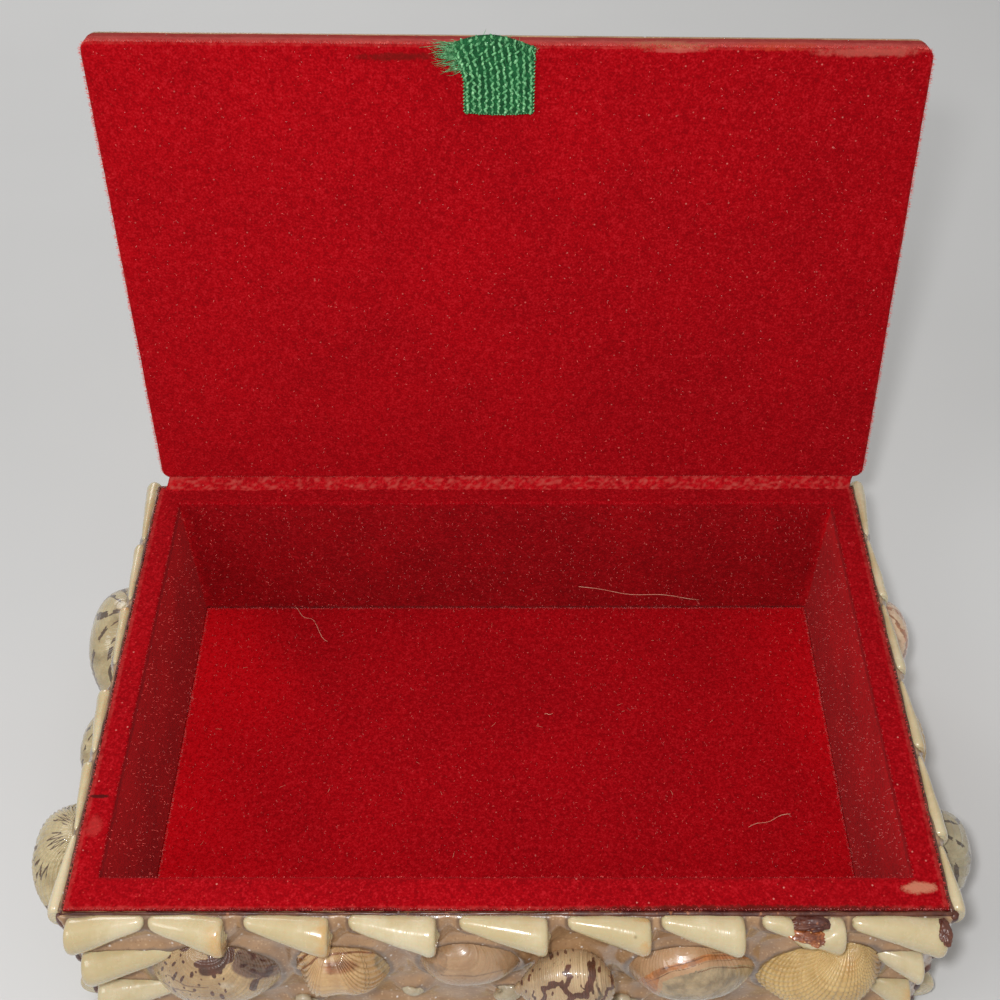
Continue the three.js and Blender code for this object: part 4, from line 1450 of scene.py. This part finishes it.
def wall_velvet():
    """One strip of velvet: turned down outside, over the rim, and down the inside of the four walls."""
    inner_low, inner_high = Vector((floor_low.x, floor_low.y)), Vector((floor_high.x, floor_high.y))
    outer_low, outer_high = Vector((rim_low.x, rim_low.y)), Vector((rim_high.x, rim_high.y))
    top, bottom = rim_high.z, floor_high.z - TUCKED_IN
    rounding = [(1.0, top - TURN_DOWN), (1.0, top - 0.7), (0.985, top - 0.28), (0.94, top - 0.05)]
    flat = [(0.94 - 0.88 * i / 9, top) for i in range(1, 9)]
    inside = [(0.05, top - 0.05), (0.012, top - 0.3), (0.0, top - 0.8)]
    wall = [(0.0, top - 0.8 - (top - 0.8 - bottom) * i / 26) for i in range(1, 27)]
    profile = rounding + flat + inside + wall
    corners = [(0, 0), (1, 0), (1, 1), (0, 1), (0, 0)]
    per_side = 84

    def place(across, along):
        position = across * 4 * per_side
        side = min(int(position // per_side), 3)
        share = position / per_side - side
        spot = Vector(corners[side]).lerp(Vector(corners[side + 1]), share)
        inner = Vector([inner_low[i] + (inner_high[i] - inner_low[i]) * spot[i] for i in range(2)])
        outer = Vector([outer_low[i] + (outer_high[i] - outer_low[i]) * spot[i] for i in range(2)])
        out, height = profile[round(along * (len(profile) - 1))]
        return Vector((*inner.lerp(outer, out), height))

    bm = grid_form(4 * per_side, len(profile) - 1, place)
    weld(bm, 0.01)
    if sum(f.normal.z * f.calc_area() for f in bm.faces) < 0:
        bmesh.ops.reverse_faces(bm, faces=bm.faces)
    bm.normal_update()
    for v in bm.verts:
        v.co += v.normal * (0.1 * drift(v.co, 0.15, 2) + 0.08 * drift(v.co, 0.7, 6))

    # painted light and shade: the side walls painted brightest, the front and back walls darker, the rim's
    # top darker still, and every wall darker further down
    def painted_pile_light(p):
        below = (top - p.z) / (top - bottom)
        if below < 0.02:
            return 0.76
        on_side = min(floor_high.x - abs(p.x), 1.0) < 0.5
        return (1.19 if on_side else 0.82) - 0.12 * below + (0.07 if on_side else 0.16) * drift(p, 0.09, 3)

    def wear_and_edge_light(p):
        outer = max(abs(p.x) / outer_high.x, abs(p.y) / outer_high.y)
        return 0.3 if outer > 0.985 and p.z > top - 0.6 else 0.0

    add_painted_light_and_wear(bm, painted_pile_light, wear_and_edge_light)
    obj = make_piece(bm, "wall_velvet", ROW, VELVET, "box", ["wall_lining"])
    return thicken(obj, LINING * MM)


def floor_velvet():
    """The card-backed velvet that lies on the floor, a little puffed towards its middle."""
    meets = Vector((0.45, 0.45, 0))
    low, high = floor_low - meets, floor_high + meets

    def place(across, along):
        x = low.x + (high.x - low.x) * across
        y = low.y + (high.y - low.y) * along
        tuck = min(1.0, min(x - low.x, high.x - x, y - low.y, high.y - y) / 0.5)
        return Vector((x, y, high.z - 0.05 * (1 - tuck) ** 2))

    bm = grid_form(180, 110, place)
    weld(bm)
    for v in bm.verts:
        v.co.z += 0.1 * drift(v.co, 0.09, 5) + 0.05 * drift(v.co, 0.5, 1)
    bmesh.ops.recalc_face_normals(bm, faces=bm.faces)
    if sum(f.normal.z for f in bm.faces) < 0:
        bmesh.ops.reverse_faces(bm, faces=bm.faces)

    # the floor's velvet painted brighter towards its ends, most to the left
    def brighter_towards_the_ends(p):
        end_rise = 0.34 if p.x < 0 else 0.2
        return 0.92 + end_rise * (p.x / floor_high.x) ** 2 + 0.16 * drift(p, 0.03, 7)

    add_painted_light_and_wear(bm, brighter_towards_the_ends)
    obj = make_piece(bm, "floor_velvet", ROW, VELVET, "box", ["floor_lining"])
    return thicken(obj, LINING * MM)


def hinge_velvet():
    """The strip that joins the rim's velvet to the lid's. Both its edges are tucked in."""
    low, high = local_box("hinge_cloth", ROW)
    to_row = ROW.inverted() @ LID_INSIDE
    face = velvet_high.z
    path = [Vector((0, high.y - 4.6, rim_high.z - 0.35)), Vector((0, high.y - 1.6, rim_high.z - 0.3)),
            Vector((0, high.y - 0.9, rim_high.z + 0.05)), Vector((0, high.y - 0.2, rim_high.z + 0.35)),
            Vector((0, high.y + 0.5, rim_high.z + 0.65)), to_row @ Vector((0, 1.0, face)),
            to_row @ Vector((0, 1.6, face - 0.15)), to_row @ Vector((0, 2.2, face - 0.55)),
            to_row @ Vector((0, 5.6, face - 0.6))]

    def place(across, along):
        position = along * (len(path) - 1)
        i = min(int(position), len(path) - 2)
        point = path[i].lerp(path[i + 1], position - i)
        point.x = low.x + (high.x - low.x) * across + LID_SHIFT * along
        return point

    bm = grid_form(240, 24, place)
    inner = [v for v in bm.verts if not v.is_boundary]
    bmesh.ops.smooth_vert(bm, verts=inner, factor=0.5, use_axis_y=True, use_axis_z=True)
    bmesh.ops.recalc_face_normals(bm, faces=bm.faces)
    if sum(f.normal.z for f in bm.faces) < 0:
        bmesh.ops.reverse_faces(bm, faces=bm.faces)
    bm.normal_update()
    for v in bm.verts:
        v.co += v.normal * (0.14 * drift(v.co, 0.9, 3) + 0.08 * drift(v.co, 2.6, 5))
    add_painted_light_and_wear(bm, lambda p: 0.9 + 0.3 * drift(p, 0.2, 2), lambda p: 0.24 + 0.6 * drift(p, 1.3, 6))
    obj = make_piece(bm, "hinge_velvet", ROW, HINGE_VELVET, replaces=["hinge_cloth"])
    thicken(obj, 0.25 * MM)
    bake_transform(obj)
    return obj


def outline(low, high, z, inset, radius=0.01):
    """Points round a rectangle with rounded corners, each with the way out from it."""
    points = []
    corners = [(-1, -1, 180), (1, -1, 270), (1, 1, 0), (-1, 1, 90)]
    for sx, sy, start in corners:
        x = (high.x - inset if sx > 0 else low.x + inset) - sx * radius
        y = (high.y - inset if sy > 0 else low.y + inset) - sy * radius
        for i in range(6):
            angle = radians(start + 90 * i / 5)
            out = Vector((cos(angle), sin(angle), 0))
            points.append((Vector((x, y, z)) + out * radius, out))
    return points + points[:1]


def fuzz_line(name, matrix, body, points, count, length, lift, inwards=False):
    """Loose pile standing out along an edge."""
    rng = random.Random(name)
    bm = bmesh.new()
    new_layers(bm)
    whole = sum((b[0] - a[0]).length for a, b in zip(points, points[1:]))
    for (a, out), (b, out_b) in zip(points, points[1:]):
        for _ in range(round(count * (b - a).length / whole)):
            share = rng.random()
            root = a.lerp(b, share) + Vector([rng.uniform(-0.15, 0.15) for _ in range(3)])
            lean = Vector([rng.uniform(-0.7, 0.7) for _ in range(3)])
            way = out.lerp(out_b, share) * (-0.6 if inwards else 1.0) + Vector((0, 0, lift))
            tip = root + (way + lean).normalized() * length * rng.uniform(0.35, 1.1)
            spike(bm, root, tip, rng.uniform(0.07, 0.13))
    return make_piece(bm, name, matrix, FUZZ, body, smooth=False)


def velvet_fuzz():
    edge = outline(velvet_low, velvet_high, velvet_high.z - 0.3, 0.15, LID_CORNER)
    lid = [fuzz_line("lid_fuzz", LID_INSIDE, "lid", edge, 6000, 0.7, 0.4)]
    edge = outline(rim_low, rim_high, rim_high.z - 0.25, 0.1)
    rim = [fuzz_line("rim_fuzz", ROW, "box", edge, 3200, 0.5, 0.8)]
    edge = outline(floor_low, floor_high, rim_high.z - 0.15, -0.15)
    rim.append(fuzz_line("rim_inner_fuzz", ROW, "box", edge, 900, 0.3, 0.8, inwards=True))
    edge = outline(floor_low, floor_high, floor_high.z + 0.05, 0.25)
    floor = [fuzz_line("floor_fuzz", ROW, "box", edge, 3000, 0.7, 0.5, inwards=True)]
    low, high = floor_low, floor_high
    top = rim_high.z - 1.0
    wide, deep = Vector((high.x - low.x, 0, 0)), Vector((0, high.y - low.y, 0))
    tall = Vector((0, 0, top - high.z))
    floor.append(standing_pile("floor_pile", ROW, "box", 2600, [
        (Vector((low.x, low.y, high.z)), wide, deep, Vector((0, 0, 1)), 1.0)]))
    rim.append(standing_pile("wall_pile", ROW, "box", 3600, [
        (Vector((low.x, high.y, high.z)), wide, tall, Vector((0, -1, 0)), 1.0),
        (Vector((low.x, low.y, high.z)), deep, tall, Vector((1, 0, 0)), 1.0),
        (Vector((high.x, low.y, high.z)), deep, tall, Vector((-1, 0, 0)), 1.0),
        (Vector((low.x, low.y, high.z)), wide, tall, Vector((0, 1, 0)), 0.4)]))
    lid.append(standing_pile("lid_pile", LID_INSIDE, "lid", 1300, [
        (Vector((velvet_low.x + 1, velvet_low.y + 1, velvet_high.z)),
         Vector((velvet_high.x - velvet_low.x - 2, 0, 0)),
         Vector((0, velvet_high.y - velvet_low.y - 2, 0)), Vector((0, 0, 1)), 1.0)]))
    return lid, rim, floor


def standing_pile(name, matrix, body, count, faces):
    """Tufts that stand up from the pile. Each face is (corner, across, up, out, share)."""
    rng = random.Random(name)
    bm = bmesh.new()
    new_layers(bm)
    whole = sum(across.length * up.length * share for _, across, up, _, share in faces)
    for corner, across, up, out, share in faces:
        for _ in range(round(count * across.length * up.length * share / whole)):
            root = corner + across * rng.random() + up * rng.random() + out * 0.05
            lean = Vector([rng.uniform(-0.9, 0.9) for _ in range(3)])
            spike(bm, root, root + (out + lean).normalized() * rng.uniform(0.3, 0.75),
                  rng.uniform(0.1, 0.22))
    return make_piece(bm, name, matrix, FUZZ, body, smooth=False)


lid_cover = lid_velvet()
wall_cover = wall_velvet()
floor_cover = floor_velvet()
hinge_strip = hinge_velvet()
lid_fuzz, rim_fuzz, floor_fuzz = velvet_fuzz()


# ---- The pull ribbon ----

RIBBON = ribbon_material()
LIT_STITCH = lit_stitch_material()
tab_low, tab_high = local_box("pull_tab", LID_INSIDE)
RIBBON_SHORT = 1.2  # of the ribbon's free end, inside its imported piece


def ribbon_point(across, along, height):
    """A place on the ribbon: free end at along 0, fixed end flared left and over the lid's edge."""
    width = tab_high.x - tab_low.x
    flare = 2.8 * max(0.0, along - 0.45) ** 1.4 / 0.55 ** 1.4 * (1 - across)
    x = tab_low.x + width * (0.02 + 0.92 * across) - flare - 0.3 * (1 - along)
    crown = 1.7 * sin(pi * min(1.0, across * 0.94 + 0.06)) * max(0.0, along - 0.6) / 0.4
    start = tab_low.y + RIBBON_SHORT
    y = start + (tab_high.y - start + 0.7) * along + crown - 0.35 * sin(pi * across) * (1 - along)
    past = max(0.0, y - velvet_high.y + 0.9)
    return Vector((x, y, height - 0.32 * past ** 2))


def pull_ribbon():
    """Two thicknesses of knitted ribbon, folded at the free end."""
    top, back = tab_high.z - 0.3, tab_low.z + 0.02

    def place(across, along):
        if along < 0.5:
            return ribbon_point(across, 1 - 2 * along, back)
        return ribbon_point(across, 2 * along - 1, top)

    bm = grid_form(60, 120, place)
    fold = [v for v in bm.verts if v.co.y < tab_low.y + RIBBON_SHORT + 0.5]
    for v in fold:
        v.co.y -= 0.12 * cos((v.co.z - (top + back) / 2) * 3)
    bmesh.ops.recalc_face_normals(bm, faces=bm.faces)
    bm.normal_update()
    for v in bm.verts:
        v.co.z += 0.05 * drift(v.co, 1.4)
    obj = make_piece(bm, "pull_ribbon", LID_INSIDE, RIBBON, "lid", ["pull_tab"])
    solid = thicken(obj, 0.18 * MM).modifiers[0]
    solid.offset = 0.0
    return obj


def ribbon_stitches():
    """Columns of raised chain stitches, each a small S-shaped loop, and the overcast edges."""
    rng = random.Random(5)
    bm = bmesh.new()
    new_layers(bm)
    columns, rows = 11, 19
    for c in range(columns):
        for r in range(rows):
            across = (c + 0.5) / columns + rng.uniform(-0.012, 0.012)
            along = (r + 0.5 + 0.25 * (c % 2)) / rows
            middle = ribbon_point(across, along, tab_high.z - 0.26)
            lean = rng.uniform(-0.35, 0.35) - 0.5 * max(0.0, along - 0.5) * (1 - across) * 2
            wide, tall = 0.36 * rng.uniform(0.85, 1.2), 0.42 * rng.uniform(0.8, 1.2)
            side = -1 if (c + r) % 2 else 1
            loop = [Vector((-wide, -tall, -0.1)), Vector((-wide * 0.5, -tall * 0.95, 0.12)),
                    Vector((0, 0, 0.22)),
                    Vector((wide * 0.5, tall * 0.95, 0.12)), Vector((wide, tall, -0.1))]
            turn = Matrix.Rotation(lean, 3, "Z")
            points = [middle + turn @ Vector((p.x, p.y * side, p.z)) for p in loop]
            thick = rng.uniform(0.85, 1.2)
            tube(bm, points, [0.13 * thick, 0.24 * thick, 0.29 * thick, 0.24 * thick, 0.13 * thick], 6)
    for across in (0.0, 1.0):
        for r in range(19):
            middle = ribbon_point(across, (r + 0.5) / 19, tab_high.z - 0.3)
            reach = Vector((0.2, 0.16, 0.0))
            tube(bm, [middle - reach, middle + Vector((0, 0, 0.18)), middle + reach], [0.1, 0.17, 0.1], 5)
    for c in range(26):
        middle = ribbon_point((c + 0.5) / 26, 0.0, tab_high.z - 0.32)
        reach = Vector((0.18, 0.1 * (-1) ** c, 0.0))
        tube(bm, [middle - reach, middle + Vector((0, -0.05, 0.18)), middle + reach], [0.08, 0.14, 0.08], 5)
    loose = [((0.0, 0.86), (0.08, 0.6)), ((0.69, 0.42), (0.83, 0.16)), ((0.97, 0.95), (1.02, 0.8))]
    for start, end in loose:  # threads that stand out
        a, b = ribbon_point(*start, tab_high.z), ribbon_point(*end, tab_high.z - 0.04)
        tube(bm, [a, a.lerp(b, 0.5) + Vector((0.1, 0, 0.08)), b], [0.1, 0.12, 0.1], 6)
    return make_piece(bm, "ribbon_stitches", LID_INSIDE, LIT_STITCH, "lid")


def ribbon_fray():
    """Loose threads where the ribbon's end goes in under the lid's edge."""
    rng = random.Random(8)
    bm = bmesh.new()
    new_layers(bm)
    for _ in range(150):
        along = rng.uniform(0.66, 1.02)
        root = ribbon_point(rng.uniform(-0.02, 0.12), along, tab_high.z - rng.uniform(0.1, 0.4))
        reach = Vector((-rng.uniform(1.0, 5.6) * (0.4 + along * 0.6), rng.uniform(-1.5, 1.0),
                        rng.uniform(-0.15, 0.25)))
        sag = Vector((0, rng.uniform(-0.5, 0.5), rng.uniform(0.0, 0.3)))
        points = [root, root + reach * 0.35 + sag * 0.6, root + reach * 0.7 + sag, root + reach]
        tube(bm, points, [0.06, 0.055, 0.05, 0.02], 3)
    for _ in range(60):
        across = rng.uniform(0.1, 1.02)
        root = ribbon_point(across, rng.uniform(0.9, 1.0), tab_high.z - 0.25)
        reach = Vector((rng.uniform(-0.6, 0.8), rng.uniform(0.3, 1.3), rng.uniform(-0.3, 0.25)))
        tube(bm, [root, root + reach * 0.5 + Vector((0, 0, 0.15)), root + reach], [0.06, 0.05, 0.02], 3)
    return make_piece(bm, "ribbon_fray", LID_INSIDE, LIT_STITCH, "lid")


ribbon = pull_ribbon()
ribbon_extras = [ribbon_stitches(), ribbon_fray()]


# ---- Lacquer along the joints, lint in the box ----

RIM_STEP = 1.2  # between the beads of the lacquer round the rim
RUN_STEP = 1.1  # between the beads of the two runs down the front corners
RUN_BEADS = 36


def lacquer_lines():
    """Brown lacquer run round the rim under the velvet and down the front corners."""
    bm = bmesh.new()
    new_layers(bm)
    front_low, front_high = local_box("front_bed", ROW)
    x, y, z = front_high.x - 0.55, -front_low.y - 0.45, front_high.z + 0.1
    loop = [(-x, -y), (x, -y), (x, y), (-x, y), (-x, -y)]
    for (x0, y0), (x1, y1) in zip(loop, loop[1:]):
        steps = round(hypot(x1 - x0, y1 - y0) / RIM_STEP)
        points, radii = [], []
        for i in range(steps + 1):
            share = i / steps
            point = Vector((x0 + (x1 - x0) * share, y0 + (y1 - y0) * share, z))
            wave = drift(point, 0.16, 4)
            thick = 0.3 + 0.2 * drift(point, 0.3, 7)
            if y0 == y1 == -y and point.x > 10:
                thick += 0.2
            points.append(point + Vector((0, 0, 0.25 * wave)))
            radii.append(max(0.2, thick))
        tube(bm, points, radii, 8)
    for side in (-1, 1):
        points = [Vector((side * (x + 0.35 + 0.2 * sin(i * 1.3)), -y - 0.1, z - i * RUN_STEP))
                  for i in range(RUN_BEADS)]
        tube(bm, points, [0.62 + 0.3 * sin(i * 0.9 + side) for i in range(RUN_BEADS)], 8)
    return make_piece(bm, "lacquer_lines", ROW, LACQUER, "box")


def lacquer_blot():
    """A blot of lacquer over the butt of the last cone on the front."""
    high = local_box("front_top_cone_9", FACES["front"])[1]
    bm = cone_bed()
    lump(bm, (high.x - 1.4, high.y - 0.9, 2.6), (1.3, 1.0, 2.2), 0.3, 6.0)
    lump(bm, (high.x - 1.0, high.y - 1.6, 4.2), (0.9, 0.9, 1.2), 0.3, 8.0)
    return make_piece(bm, "lacquer_blot", FACES["front"], LACQUER, "box")


def lint():
    """A few pale hairs caught in the velvet."""
    rng = random.Random(12)
    bm = bmesh.new()
    new_layers(bm)
    floor = floor_high.z + 0.25
    back = floor_high.y - 0.35
    steps = 14
    curl = [Vector((-56 + 11 * i / steps, 48 - 11 * (i / steps) ** 1.6 + 0.9 * sin(i * 0.9), floor))
            for i in range(steps + 1)]
    slant = [Vector((18.5 + 31 * i / steps, back, 14 - 5 * (i / steps) ** 0.7 + 0.5 * sin(i * 0.8)))
             for i in range(steps + 1)]
    short = [Vector((55 + i, -15 + 0.35 * i + 0.3 * sin(i), floor)) for i in range(11)]
    tiny = [Vector((9.4 + 0.5 * i, 15.3 + 0.2 * sin(i * 2), floor)) for i in range(5)]
    for points in (curl, slant, short, tiny):
        tube(bm, points, [0.07] * len(points), 5)
    for _ in range(36):
        x, y = rng.uniform(floor_low.x + 3, floor_high.x - 3), rng.uniform(floor_low.y + 3, floor_high.y - 3)
        angle = rng.uniform(0, pi)
        reach = Vector((cos(angle), sin(angle), 0)) * rng.uniform(0.5, 1.6)
        root = Vector((x, y, floor))
        tube(bm, [root, Vector((x, y, floor + 0.06)) + reach * 0.5, root + reach], [0.035] * 3, 4)
    return make_piece(bm, "lint", ROW, lint_material(), "box")


lacquer_lines()
lacquer_blot()
lint_hairs = lint()

BOARD = board_material()
for name in ("floor_board", "front_board", "back_board", "left_board", "right_board"):
    mesh = frame["nodes"][name].data
    mesh.materials.clear()
    mesh.materials.append(BOARD)


def lid_card():
    """The lid's board, out of square as the velvet on it is."""
    low, high = local_box("lid_board", LID_INSIDE)
    bm = bmesh.new()
    new_layers(bm)
    bmesh.ops.create_cube(bm, size=1)
    bmesh.ops.scale(bm, vec=high - low, verts=bm.verts)
    bmesh.ops.translate(bm, vec=(low + high) / 2, verts=bm.verts)
    upright = [e for e in bm.edges if abs((e.verts[0].co - e.verts[1].co).normalized().z) > 0.9]
    bmesh.ops.bevel(bm, geom=upright, offset=1.5, affect="EDGES", segments=5, profile=0.5, material=-1)
    return make_piece(bm, "lid_card", LID_INSIDE, BOARD, "lid", ["lid_board"], smooth=False)


lid_card()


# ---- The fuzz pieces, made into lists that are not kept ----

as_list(lid_fuzz)
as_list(rim_fuzz)
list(floor_fuzz)


# ---- Camera, light and floor ----

def make_camera():
    data = bpy.data.cameras.new("camera")
    data.sensor_width = 36.0
    data.lens = 48.7
    data.clip_start = 0.01
    camera = bpy.data.objects.new("camera", data)
    place = Vector((0.0003, -0.1662, 0.2821))
    target = Vector((-0.0014, 0.0718, 0.020))
    roll = Quaternion((0, 0, 1), radians(-0.393))
    camera.rotation_mode = "QUATERNION"
    camera.location = place
    camera.rotation_quaternion = (target - place).to_track_quat("-Z", "Y") @ roll
    bpy.context.scene.collection.objects.link(camera)
    bpy.context.scene.camera = camera


def make_light(name, place, target, size, power):
    data = bpy.data.lights.new(name, "AREA")
    data.shape = "DISK"
    data.size = size
    data.energy = power
    light = bpy.data.objects.new(name, data)
    light.location = Vector(place)
    light.rotation_euler = (Vector(target) - Vector(place)).to_track_quat("-Z", "Y").to_euler()
    bpy.context.scene.collection.objects.link(light)


def make_stage():
    bm = bmesh.new()
    bmesh.ops.create_grid(bm, x_segments=4, y_segments=4, size=3)
    mesh = bpy.data.meshes.new("floor")
    bm.to_mesh(mesh)
    bm.free()
    floor = bpy.data.objects.new("floor", mesh)
    floor.location.z = -0.0002
    material, tree, shader = start_material("pale_floor", Roughness=0.9)
    feed(tree, shader, mottled(tree, 3.0, 0.2, colour(208, 208, 208), colour(202, 202, 202)))
    mesh.materials.append(material)
    bpy.context.scene.collection.objects.link(floor)
    world = bpy.data.worlds.new("studio")
    world.use_nodes = True
    backdrop = world.node_tree.nodes["Background"]
    backdrop.inputs["Color"].default_value = (1.0, 0.99, 0.97, 1)
    backdrop.inputs["Strength"].default_value = 0.5
    bpy.context.scene.world = world
    bpy.context.scene.view_settings.view_transform = "Standard"


make_camera()
make_light("flash", (-0.022, -0.17, 0.315), (0, 0.03, 0.03), 0.022, 0.66)
make_light("left_fill", (-0.5, -0.35, 0.6), (0, 0, 0.03), 0.35, 0.9)
make_light("back_fill", (-0.3, 0.8, 0.55), (-0.12, 0.4, 0), 0.5, 2.2)
make_stage()
